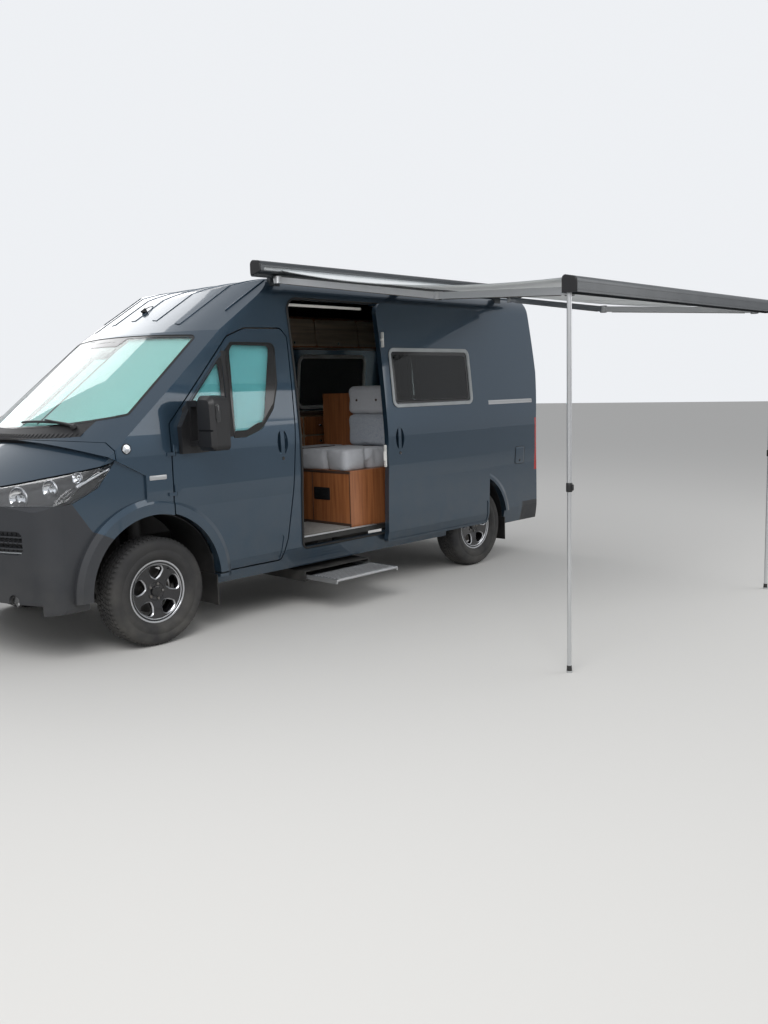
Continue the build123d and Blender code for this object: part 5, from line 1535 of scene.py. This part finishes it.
class Cushion:
    """Stuffed cushion, inflated by the cloth solver inside its CAD solid."""

    voxel = 0.018
    pressure = 4.0
    frames = 20
    edge, corner = 0.028, 0.045

    def __init__(self, name: str, low: Vector, high: Vector, finish: Finish, body: str = "van_body") -> None:
        """Keep its box in van coordinates and its finish."""
        self.name, self.low, self.high, self.finish, self.body = name, low, high, finish, body

    def build(self) -> Object:
        """Make the cushion."""
        shape = Shape().block(self.low + Van.origin, self.high + Van.origin, self.edge, self.corner)
        mesh = shape.mesh(self.name)
        made = bpy.data.objects.new(self.name, mesh)
        show(made)
        remesh = made.modifiers.new("even", "REMESH")
        remesh.mode, remesh.voxel_size = "VOXEL", self.voxel
        self.inflate(made)
        graph = bpy.context.evaluated_depsgraph_get()
        graph.update()
        final = bpy.data.meshes.new_from_object(made.evaluated_get(graph))
        bpy.data.objects.remove(made)
        self.hold(final)
        cushion = settle(final, self.name, self.finish, self.body, 60.0)
        return cushion

    def inflate(self, made: Object) -> None:
        """Puff the cushion up under a little pressure."""
        cloth = made.modifiers.new("cloth", "CLOTH")
        settings = cloth.settings
        settings.quality = 4
        settings.use_pressure = True
        settings.uniform_pressure_force = self.pressure
        settings.tension_stiffness = settings.compression_stiffness = 40.0
        settings.bending_stiffness = 2.0
        settings.effector_weights.gravity = 0.0
        cloth.point_cache.frame_start, cloth.point_cache.frame_end = 1, self.frames
        for number in range(1, self.frames + 1):
            bpy.context.scene.frame_set(number)

    def hold(self, mesh: Mesh) -> None:
        """Keep every point inside the CAD solid's box."""
        low, high = self.low + Van.origin, self.high + Van.origin
        for vertex in mesh.vertices:
            for axis in range(3):
                vertex.co[axis] = min(max(vertex.co[axis], low[axis]), high[axis])


@dataclass
class LivingSpace:
    """What shows through the side opening, and the rest of the fitted interior."""

    bench: tuple = (1.890, 2.520, -0.915, -0.020, 0.540, 1.000)
    kitchen: tuple = (2.160, 2.970, 0.380, 0.925, 0.540, 1.420)

    def bench_box(self) -> None:
        """Edging, seam, vent and catch on the bench box."""
        x0, _, y0, y1, z0, z1 = self.bench
        trim = Shape()
        for y in (y0 + 0.004, (y0 + y1) / 2 - 0.002, y1 - 0.008):
            trim.box(x0 - 0.0025, x0 + 0.003, y, y + 0.006, z0 + 0.02, z1 - 0.004, 0.001)
        trim.box(x0 - 0.004, x0 + 0.006, y0, y1, z1 - 0.024, z1 - 0.002, 0.002)
        trim.box(x0 - 0.003, x0 + 0.006, y0, y1, z0 + 0.002, z0 + 0.032, 0.002)
        trim.piece("bench_edging", DARK_TRIM)
        vent = Shape()
        for k in range(6):
            vent.box(x0 - 0.006, x0 - 0.001, -0.66, -0.50, 0.765 + k * 0.014, 0.772 + k * 0.014, 0.0015)
        vent.box(x0 - 0.004, x0 + 0.001, -0.675, -0.485, 0.752, 0.855, 0.0015, 0.008)
        vent.piece("bench_vent", BLACK)
        catch = Shape().lathe(mm(-2, 14, 5, 13, 8, 10, 6, 3), Van.at(x0, -0.20, 0.90), Vector((-1, 0, 0)), 20)
        catch.piece("bench_catch", CHROME_TRIM)

    def cushions(self) -> None:
        """Seat, back and mattress cushions in place of the CAD solids."""
        grey, blue = GREY_CUSHION, BLUE_CUSHION
        rows = [("bench_seat_left", (1.850, -0.914, 1.001), (2.459, -0.325, 1.169), grey),
                ("bench_seat_right", (1.850, -0.323, 1.001), (2.459, -0.021, 1.169), blue),
                ("bench_back_lower", (2.332, -0.914, 1.171), (2.459, -0.456, 1.440), blue),
                ("bench_back_upper", (2.340, -0.914, 1.441), (2.459, -0.456, 1.679), grey)]
        made = [Cushion(name, Vector(low), Vector(high), finish).build() for name, low, high, finish in rows]
        low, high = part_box("soft_furnishing")
        far = high.x - Van.origin.x
        for name, y_low, y_high in (("mattress_left", -0.885, -0.003), ("mattress_right", 0.003, 0.885)):
            low, high = Vector((3.381, y_low, 0.9305)), Vector((far - 0.002, y_high, 1.069))
            made.append(Cushion(name, low, high, MATTRESS).build())
        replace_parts(made[0], "soft_furnishing")
        seam = [Van.at(x, -0.324, z) for x,
                z in ((1.852, 1.03), (1.853, 1.145), (1.872, 1.166), (2.30, 1.168))]
        Shape().tube(seam, 0.004, 6).piece("bench_piping", DARK_TRIM)
        buttons = Shape()
        for z in (1.31, 1.56):
            for y in (-0.80, -0.57):
                buttons.lathe(mm(-3, 11, 3, 10, 5, 3), Van.at(2.338, y, z), Vector((-1, 0, 0)), 12)
        buttons.piece("bench_buttons", DARK_TRIM)

    def kitchen_front(self) -> None:
        """Doors, catches, hob, sink, tap and worktop edge."""
        x0, x1, y0, y1, z0, z1 = self.kitchen
        doors = Shape()
        for k in range(2):
            a = x0 + 0.012 + k * (x1 - x0) / 2
            b = x0 - 0.012 + (k + 1) * (x1 - x0) / 2
            doors.box(a, b, y0 - 0.014, y0 - 0.0005, z0 + 0.06, z1 - 0.20, 0.003, 0.02)
            doors.box(a, b, y0 - 0.014, y0 - 0.0005, z1 - 0.185, z1 - 0.015, 0.003, 0.02)
        doors.box(x0 - 0.013, x0 - 0.0005, y0 + 0.012, y1 - 0.02, z0 + 0.06, z1 - 0.015, 0.003, 0.02)
        doors.piece("kitchen_doors", WOOD)
        knobs = Shape()
        for k in range(2):
            middle = x0 + (k + 0.5) * (x1 - x0) / 2
            for z in (z1 - 0.25, z1 - 0.10):
                knobs.lathe(mm(0, 13, 12, 13, 16, 10, 17, 3), Van.at(middle, y0 - 0.014, z),
                            Vector((0, -1, 0)), 16)
        knobs.piece("kitchen_catches", CHROME_TRIM)
        top = z1 + 0.0355

        def deck(x: float, y: float, lift: float) -> Vector:
            """Point over the worktop."""
            return Van.at(x, y, top + lift)

        sink = Shape()
        sink.frame(square(2.62, 2.93, 0.44, 0.78, 0.05), mm(0, 0, 0, 4, 12, 4, 18, 1), deck, 0.1)
        sink.panel(square(2.635, 2.915, 0.455, 0.765, 0.045), mm(0, 0.2, 0, 2, 2, 2.2), deck, 0.1)
        spout = ((0.84, 0.0), (0.84, 0.13), (0.82, 0.165), (0.76, 0.172), (0.70, 0.150))
        sink.tube([deck(2.77, y, rise) for y, rise in spout], 0.010, 12)
        sink.piece("kitchen_sink", STAINLESS)
        hob = Shape().box(2.22, 2.56, 0.44, 0.80, top, top + 0.006, 0.002, 0.02)
        hob.piece("kitchen_hob", GLOSS_BLACK)
        rings = Shape()
        for x, y, r in ((2.31, 0.53, 0.05), (2.47, 0.69, 0.062)):
            spot, up = deck(x, y, 0.006), Vector((0, 0, 1))
            rings.lathe([(0.0, r), (0.006, r), (0.006, r - 0.006), (0.0, r - 0.006)], spot, up, 28, loop=True)
            rings.lathe([(0.0, r * 0.45), (0.010, r * 0.42), (0.012, r * 0.3), (0.012, 0.002)], spot, up, 20)
            for k in range(4):
                a = math.tau * (k + 0.5) / 4
                ray = Vector((math.cos(a), math.sin(a), 0))
                centre = Van.at(x, y, top + 0.016)
                rings.tube([centre + ray * r * 0.5, centre + ray * r * 1.25], 0.0025, 6)
        rings.piece("kitchen_burners", STEEL)
        edge = Shape()
        edge.box(2.136, 2.994, 0.346, 0.3505, 1.4215, 1.4535, 0.001, 0.002)
        edge.box(2.136, 2.1405, 0.346, 0.925, 1.4215, 1.4535, 0.001, 0.002)
        edge.piece("worktop_edging", DARK_TRIM)

    def lockers(self) -> None:
        """Flaps and buttons of the overhead lockers."""
        flaps, buttons = Shape(), Shape()
        skin = Skin("wood_furniture")
        for side, y, first, last, count in ((Side.RIGHT, 0.0, 1.72, 4.02, 4),
                                            (Side.LEFT, -0.2, 2.78, 4.02, 2)):
            inner = skin.across(y, side.value)
            for k in range(count):
                a = first + (last - first) * k / count + 0.006
                b = first + (last - first) * (k + 1) / count - 0.006
                flaps.panel(square(a, b, 2.075, 2.325, 0.02), mm(0, 0.6, 0, 10, 3, 12, 30, 12), inner, 0.1)
                spot = inner((a + b) / 2, 2.10, 0.012)
                buttons.lathe(mm(-1, 14, 3, 13, 5, 9, 4, 3), spot, Vector((0, -side.value, 0)), 16)
        flaps.piece("locker_flaps", PALE_BOARD)
        buttons.piece("locker_buttons", CHROME_TRIM)

    def linings(self) -> None:
        """Entrance light, threshold, mat, window surrounds, blinds and ceiling lamps."""
        light = Shape().box(1.33, 2.12, -0.873, -0.853, 2.285, 2.305, 0.004, 0.008)
        light.piece("entrance_light", GLOW)
        sill = Shape()
        sill.box(1.300, 2.140, -0.965, -0.925, 0.5405, 0.5445, 0.001, 0.004)
        for k in range(4):
            sill.box(1.305, 2.135, -0.960 + k * 0.009, -0.957 + k * 0.009, 0.5440, 0.5465, 0.0008)
        sill.piece("threshold", ALUMINIUM)
        mat = Shape().box(1.31, 2.10, -0.905, -0.38, 0.5405, 0.5505, 0.003, 0.03)
        mat.piece("entrance_mat", MAT)
        cards = Shape()
        inner = Skin("side_wall_right").across(0.3, 1)
        for x0, x1 in ((1.46, 2.34), (3.01, 3.99)):
            cards.frame(square(x0, x1, 1.46, 2.015, 0.09), mm(0, 0.5, 4, 12, 30, 12, 38, 0.5), inner, 0.08)
        cards.piece("inner_window_surrounds", PALE_PLASTIC)
        self.window_blinds(inner)
        blinds = Shape()
        for x0, x1 in ((1.50, 2.30), (3.05, 3.95)):
            blinds.tube([inner(x0 + 0.02 + (x1 - x0 - 0.04) * t, 1.99, 0.018) for t in shares(8)], 0.014, 8)
        blinds.piece("blind_cassettes", PALE_PLASTIC)
        lamp_row = Shape()
        ceiling = Skin("high_roof")
        for x in (1.75, 2.45, 3.75):
            spot = ceiling.drop(Van.at(x, 0.0, 1.5), Vector((0, 0, 1)), 0.0)
            lamp_row.lathe(mm(0, 40, 6, 40, 10, 34, 11, 4), spot, Vector((0, 0, -1)), 24)
        lamp_row.piece("ceiling_lamps", GLOW)

    def window_blinds(self, inner: Placer) -> None:
        """Closed roller blinds over both windows on the right."""
        for name, x0, x1 in (("front", 1.50, 2.30), ("rear", 3.05, 3.95)):
            low, high, wide = 1.500, 1.978, x1 - x0 - 0.008
            columns = []
            for k in range(25):
                columns.append([])
                for j in range(11):
                    z = low + (high - low) * j / 10
                    start, end = inner(x0 - 0.03, z, 0.0), inner(x1 + 0.03, z, 0.0)
                    spot = start.lerp(end, (0.034 + wide * k / 24) / (x1 - x0 + 0.06))
                    columns[-1].append(spot + Vector((0, -0.006 - 0.0012 * math.sin(1.3 * k + j), 0)))
            mesh = Shape().net(columns).mesh("roller_blind")
            made = settle(mesh, "roller_blind_" + name, DARK_BLIND, "van_body", 60.0)

    def cab(self) -> None:
        """Seat cushions and dashboard details."""
        rows = (("base", 0.238, ((0.562, 0.832), (1.078, 0.832), (1.078, 0.948), (0.562, 0.968))),
                ("back", 0.228, ((1.032, 0.950), (1.128, 0.950), (1.223, 1.558), (1.137, 1.576))),
                ("head", 0.128, ((1.152, 1.582), (1.213, 1.574), (1.248, 1.738), (1.172, 1.748))))
        made = [self.seat_part(f"cab_seat_{name}_{side.word}", side.value * 0.430, half, outline)
                for side in Side for name, half, outline in rows]
        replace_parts(made[0], "cab_seats")
        dash = Shape()
        place = Skin("cab_fittings").rear(1.2)
        for y in (-0.80, -0.16, 0.10, 0.80):
            spot = place(y, 1.255, 0.0)
            dash.lathe(mm(-2, 45, 8, 44, 10, 38, 2, 34, 3, 4), spot, Vector((1, 0, 0)), 24)
        dash.piece("dash_vents", BLACK)
        screen = Shape().box(0.372, 0.392, -0.13, 0.09, 1.10, 1.215, 0.004, 0.01)
        screen.piece("dash_screen", GLOSS_BLACK)

    def seat_part(self, name: str, y: float, half: float, outline: Sequence[Flat]) -> Object:
        """Upholstered block with a side-view outline."""
        corners = [(u, v, 0.035) for u, v in outline]
        edge = ((0.030, 0.0), (0.012, 0.008), (0.0, 0.03), (0.006, 0.07))
        section = [(inset, along - half) for inset, along in edge]
        section += [(inset, half - along) for inset, along in reversed(edge)]
        shape = Shape().panel(corners, section, lambda u, v, w: Van.at(u, y + w, v), 0.03)
        made = shape.piece(name, SEAT_CLOTH, "van_body", 50.0)
        return made

    def build(self) -> None:
        """Make the interior."""
        self.bench_box()
        self.cushions()
        self.kitchen_front()
        self.lockers()
        self.linings()
        self.cab()


@dataclass
class Awning:
    """Cloth on its roller, end caps, arm joints and leg fittings."""

    start: float = 0.930
    length: float = 3.250
    inset: float = 0.190
    case_y: float = -0.952
    case_z: float = 2.462
    lead_y: float = -3.402
    lead_z: float = 2.150
    sag: float = 0.070
    rows: int = 48
    across: int = 64

    def cloth(self) -> None:
        """Sheet from the roller to the lead rail with its slow waves and seams."""
        x0, x1 = self.start + self.inset + 0.011, self.start + self.length - self.inset - 0.011
        y0, z0 = self.case_y - 0.096, self.case_z + 0.0515
        y1, z1 = self.lead_y + 0.0105, self.lead_z + 0.0855
        wide = x1 - x0

        def hang(x: float, t: float, drop: float) -> Vector:
            """Point of the sagging sheet at x and a share t of its length, some way below it."""
            return Van.at(x, y0 + (y1 - y0) * t, z0 + (z1 - z0) * t - self.sag * 4 * t * (1 - t) - drop)

        def line(x: float, drop: float) -> list[Vector]:
            """Run along the sheet at x."""
            return [hang(x, t, drop) for t in shares(24)]

        def spot(t: float, s: float) -> Vector:
            """Point of the sheet, its slow waves hanging below the even curve."""
            ease = math.sin(math.pi * t)
            wave = 0.0022 * ease * math.sin(s * 19.0 + t * 2.0) - 0.004 * ease * math.sin(math.pi * s) ** 0.5
            return hang(x0 + wide * s, t, 0.0005 - min(wave, 0.0))

        mesh = Shape().net([[spot(t, s) for s in shares(self.across)]
                            for t in shares(self.rows)]).mesh("awning_sheet")
        made = settle(mesh, "awning_sheet", AWNING_CLOTH, "van_body", 60.0)
        roll = Shape().lathe([(self.start + 0.0305, 0.0290), (self.start + self.length - 0.0305, 0.0290)],
                             Van.at(0, self.case_y - 0.072, self.case_z + 0.058), Vector((1, 0, 0)), 28)
        roll.piece("awning_roll", AWNING_CLOTH)
        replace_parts(made, "awning_cloth")
        seams, hems = Shape(), Shape()
        for k in range(1, 3):
            seams.tube(line(x0 + wide * k / 3, 0.0030), 0.0016, 4)
        seams.piece("awning_seams", AWNING_CLOTH)
        for x in (x0 + 0.008, x1 - 0.008):
            hems.tube(line(x, 0.0032), 0.0024, 6)
        hems.piece("awning_hems", AWNING_CLOTH)

    def ends(self) -> None:
        """Moulded caps on both ends of the case and the lead rail."""
        case = [(self.case_y + y, self.case_z + z, radius) for y, z, radius in
                ((-0.002, 0.004, 0.018), (-0.002, 0.114, 0.028), (-0.116, 0.100, 0.038),
                 (-0.116, 0.030, 0.012))]
        lead = [(self.lead_y + y, self.lead_z + z, radius) for y, z, radius in
                ((0.008, 0.003, 0.004), (0.008, 0.102, 0.021), (-0.088, 0.080, 0.028),
                 (-0.088, 0.003, 0.004))]
        caps = Shape()
        for corners, inset in ((case, 0.0005), (lead, self.inset + 0.0005)):
            for edge, sign in ((self.start + inset, -1), (self.start + self.length - inset, 1)):
                section = [(a, edge + sign * b) for a, b in mm(0, -1, 0, 3, 3, 6, 20, 6.5)]
                caps.panel(corners, section, lambda u, v, w: Van.at(w, u, v), 0.2)
        caps.piece("awning_end_caps", BLACK)
        lines = Shape()
        for z in (0.036, 0.078):
            for inset, y, level in ((0.01, self.case_y - 0.1188, self.case_z),
                                    (self.inset + 0.01, self.lead_y - 0.0905, self.lead_z - 0.022)):
                ends = (self.start + inset, self.start + self.length - inset)
                lines.tube([Van.at(x, y, level + z) for x in ends], 0.0018, 4)
        lines.piece("awning_case_lines", ANTHRACITE)

    def arms(self) -> None:
        """Pivot caps and spring cables on the folding arms."""
        pivots, cables = Shape(), Shape()
        for end, toward in ((self.start, 1), (self.start + self.length, -1)):
            spots = [(end + toward * 0.20, self.case_y - 0.060, self.case_z - 0.014),
                     (end + toward * 0.56, (self.case_y + self.lead_y) / 2 - 0.030, 2.255),
                     (end + toward * 0.32, self.lead_y + 0.0403, self.lead_z + 0.022)]
            for x, y, z in spots[1:]:
                for sign in (-1, 1):
                    pivots.lathe(mm(24.5, 28.5, 27.5, 27, 28.5, 20, 26.8, 18, 26.8, 4),
                                 Van.at(x, y, z), Vector((0, 0, sign)), 24)
            for (xa, ya, za), (xb, yb, zb) in zip(spots, spots[1:]):
                for offset in (-0.006, 0.006):
                    a, b = Van.at(xa, ya, za - 0.024), Van.at(xb, yb, zb - 0.024)
                    across = (b - a).cross(Vector((0, 0, 1))).normalized() * offset
                    cables.tube([a.lerp(b, 0.06) + across, a.lerp(b, 0.94) + across], 0.0022, 6)
        pivots.piece("awning_arm_pivots", ANTHRACITE)
        cables.piece("awning_arm_cables", STEEL)

    def legs(self) -> None:
        """Clamp collars and feet of both legs."""
        for end in ("front", "rear"):
            upper, lower = f"leg_{end}_upper", f"leg_{end}_lower"
            low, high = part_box("awning_" + upper)
            x, y = (low.x + high.x) / 2 - Van.origin.x, (low.y + high.y) / 2 - Van.origin.y
            collar = Shape()
            collar.lathe(mm(0, 14.2, 0, 17, 4, 18.2, 46, 18.2, 50, 16.5, 52, 14.2),
                         Van.at(x, y, 1.052), Vector((0, 0, 1)), 28, loop=True)
            collar.box(x - 0.007, x + 0.007, y - 0.027, y - 0.015, 1.060, 1.095, 0.003, 0.005)
            collar.piece("collar_" + upper, BLACK, upper)
            foot = Shape()
            foot.lathe(mm(0, 16.5, 2, 17, 10, 16.8, 16, 15, 40, 13.8, 42, 12.6, 0, 12),
                       Van.at(x, y, 0.0003), Vector((0, 0, 1)), 28, loop=True)
            foot.piece("foot_" + lower, RUBBER, lower)

    def brackets(self) -> None:
        """Bolt heads on the roof brackets."""
        bolts = Shape()
        for x in (self.start + 0.25, self.start + self.length / 2, self.start + self.length - 0.25):
            for dx in (0.022, 0.068):
                bolts.lathe(mm(0, 10, 6, 10, 8, 8, 8, 2),
                            Van.at(x + dx, self.case_y + 0.050, self.case_z + 0.044),
                            Vector((0, 0, 1)), 6)
        bolts.piece("bracket_bolts", STEEL)

    def build(self) -> None:
        """Make the whole awning."""
        self.cloth()
        self.ends()
        self.arms()
        self.legs()
        self.brackets()


@dataclass
class EntryStep:
    """Grip strips, edge and motor of the step."""

    def build(self) -> None:
        """Make the step's fittings."""
        low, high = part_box("step_plate")
        low, high = low - Van.origin, high - Van.origin
        edge = Shape()
        edge.box(low.x + 0.002, high.x - 0.002, low.y - 0.0005, low.y + 0.010, 0.2475, 0.2635, 0.003, 0.004)
        edge.piece("step_edge", MACHINED, "entry_step")
        grips = Shape()
        for k in range(7):
            y = low.y + 0.034 + k * 0.034
            grips.box(low.x + 0.03, high.x - 0.03, y, y + 0.012, 0.2615, 0.2640, 0.001, 0.003)
        grips.piece("step_grips", RUBBER, "entry_step")
        motor = Shape().box(low.x + 0.12, low.x + 0.26, -0.78, -0.70, 0.292, 0.345, 0.006, 0.02)
        motor.piece("step_motor", BLACK)


def look_at_material(node: str, finish: Finish) -> None:
    """Give a CAD node one finish."""
    piece = Van.object(node)
    piece.data.materials.clear()
    piece.data.materials.append(finish.material())


@dataclass
class Studio:
    """Pale floor, soft light, and a camera where the photograph was taken from."""

    eye: Point = (-3.367, -6.245, 1.665)
    yaw: float = 46.65
    pitch: float = 7.63
    roll: float = -1.535
    lens: float = 32.77
    floor_reach: float = 60.0
    floor_colour: Colour = (0.62, 0.61, 0.59)
    sky: Colour = (0.90, 0.92, 0.95)
    sky_lights: float = 0.62
    sky_shows: float = 0.95
    lamp_rows: tuple = (("key", (-4.0, -5.5, 6.5), (1.0, -0.5, 0.8), 5.0, 420.0),
                        ("fill", (5.5, -7.0, 4.5), (2.0, -1.0, 1.0), 5.0, 150.0),
                        ("back", (3.0, 7.5, 6.0), (1.5, 0.0, 1.0), 6.0, 220.0))

    def camera(self) -> None:
        """Place the camera."""
        yaw, pitch, roll = (math.radians(a) for a in (self.yaw, self.pitch, self.roll))
        ahead = Vector((math.sin(yaw) * math.cos(pitch), math.cos(yaw) * math.cos(pitch), -math.sin(pitch)))
        level = Vector((math.cos(yaw), -math.sin(yaw), 0.0))
        up = level.cross(ahead)
        right = level * math.cos(roll) + up * math.sin(roll)
        top = up * math.cos(roll) - level * math.sin(roll)
        data = bpy.data.cameras.new("camera")
        data.lens, data.sensor_width = self.lens, 36.0
        data.clip_start, data.clip_end = 0.05, 200.0
        camera = bpy.data.objects.new("camera", data)
        show(camera)
        turn = Matrix((right, top, -ahead)).transposed().to_4x4()
        camera.matrix_world = Matrix.Translation(Van.at(*self.eye)) @ turn
        bpy.context.scene.camera = camera

    def floor(self) -> None:
        """Lay a wide pale floor."""
        mesh = bpy.data.meshes.new("floor")
        reach = self.floor_reach
        mesh.from_pydata([(-reach, -reach, 0), (reach, -reach, 0), (reach, reach, 0), (-reach, reach, 0)], [],
                         [(0, 1, 2, 3)])
        piece = bpy.data.objects.new("floor", mesh)
        show(piece)
        made = bpy.data.materials.new("pale_floor")
        made.use_nodes = True
        shader = made.node_tree.nodes["Principled BSDF"]
        shader.inputs["Base Color"].default_value = (*self.floor_colour, 1.0)
        shader.inputs["Roughness"].default_value = 0.9
        mesh.materials.append(made)

    def world(self) -> None:
        """Even sky that shows nearly white to the camera and through glass, and lights the scene less
        strongly.
        """
        world = bpy.data.worlds.new("studio")
        bpy.context.scene.world = world
        world.use_nodes = True
        nodes = Nodes(world.node_tree)
        background = world.node_tree.nodes["Background"]
        background.inputs[0].default_value = (*self.sky, 1.0)
        path = nodes.add("ShaderNodeLightPath").outputs
        seen = nodes.math("MAXIMUM", path["Is Camera Ray"], path["Is Transmission Ray"])
        strength = nodes.add("ShaderNodeMapRange",
                             {0: seen, 3: self.sky_lights, 4: self.sky_shows}).outputs[0]
        world.node_tree.links.new(strength, background.inputs[1])

    def lamps(self) -> None:
        """Large soft lamps from above."""
        for name, place, aim, size, power in self.lamp_rows:
            data = bpy.data.lights.new(name, "AREA")
            data.size, data.energy = size, power
            lamp = bpy.data.objects.new(name, data)
            show(lamp)
            spot = Van.at(*place)
            facing = (Van.at(*aim) - spot).to_track_quat("-Z", "Y").to_matrix().to_4x4()
            lamp.matrix_world = Matrix.Translation(spot) @ facing

    def build(self) -> None:
        """Make the whole set."""
        self.camera()
        self.floor()
        self.world()
        self.lamps()
        bpy.context.scene.view_settings.view_transform = "Standard"


FINISHES: dict[str, Finish] = {
    "paint": PAINT, "bumper_plastic": BUMPER, "black_plastic": BLACK, "glass": WINDOW, "acrylic": TINTED,
    "lamp": LENS, "tail_lamp": RED_LENS, "blind": BLIND, "tyre": TYRE, "alloy": RIM_BLACK, "steel": CHASSIS,
    "floor": CHASSIS, "wood": WOOD, "light_board": PALE_BOARD, "cushion": GREY_CUSHION,
    "seat_fabric": SEAT_CLOTH,
    "anthracite": ANTHRACITE, "awning_cloth": AWNING_CLOTH, "bare_aluminium": ALUMINIUM,
}


def dress_nodes() -> None:
    """Give every CAD node the finish of its material slot."""
    for row in frame["record"]["subparts"]:
        look_at_material(row["node"], FINISHES[row["material_slot"]])
    for end in ("front", "rear"):
        look_at_material(f"awning_leg_{end}_upper", LEG_METAL)
        look_at_material(f"awning_leg_{end}_lower", LEG_METAL)


def keep_sizes() -> None:
    """Update the view layer."""
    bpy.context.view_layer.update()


def main() -> None:
    """Dress the van."""
    logging.basicConfig(level=logging.INFO, format="%(message)s")
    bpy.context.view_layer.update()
    dress_nodes()
    for end in ("front_", "rear_"):
        for side in Side:
            Wheel(end + side.word, side).build()
    for part in (Glazing(), FrontEnd(), BodyShell(), Doors(), RearEnd(), LivingSpace(), Awning(),
                 EntryStep()):
        part.build()
    Studio().build()
    keep_sizes()


if __name__ == "__main__":
    main()
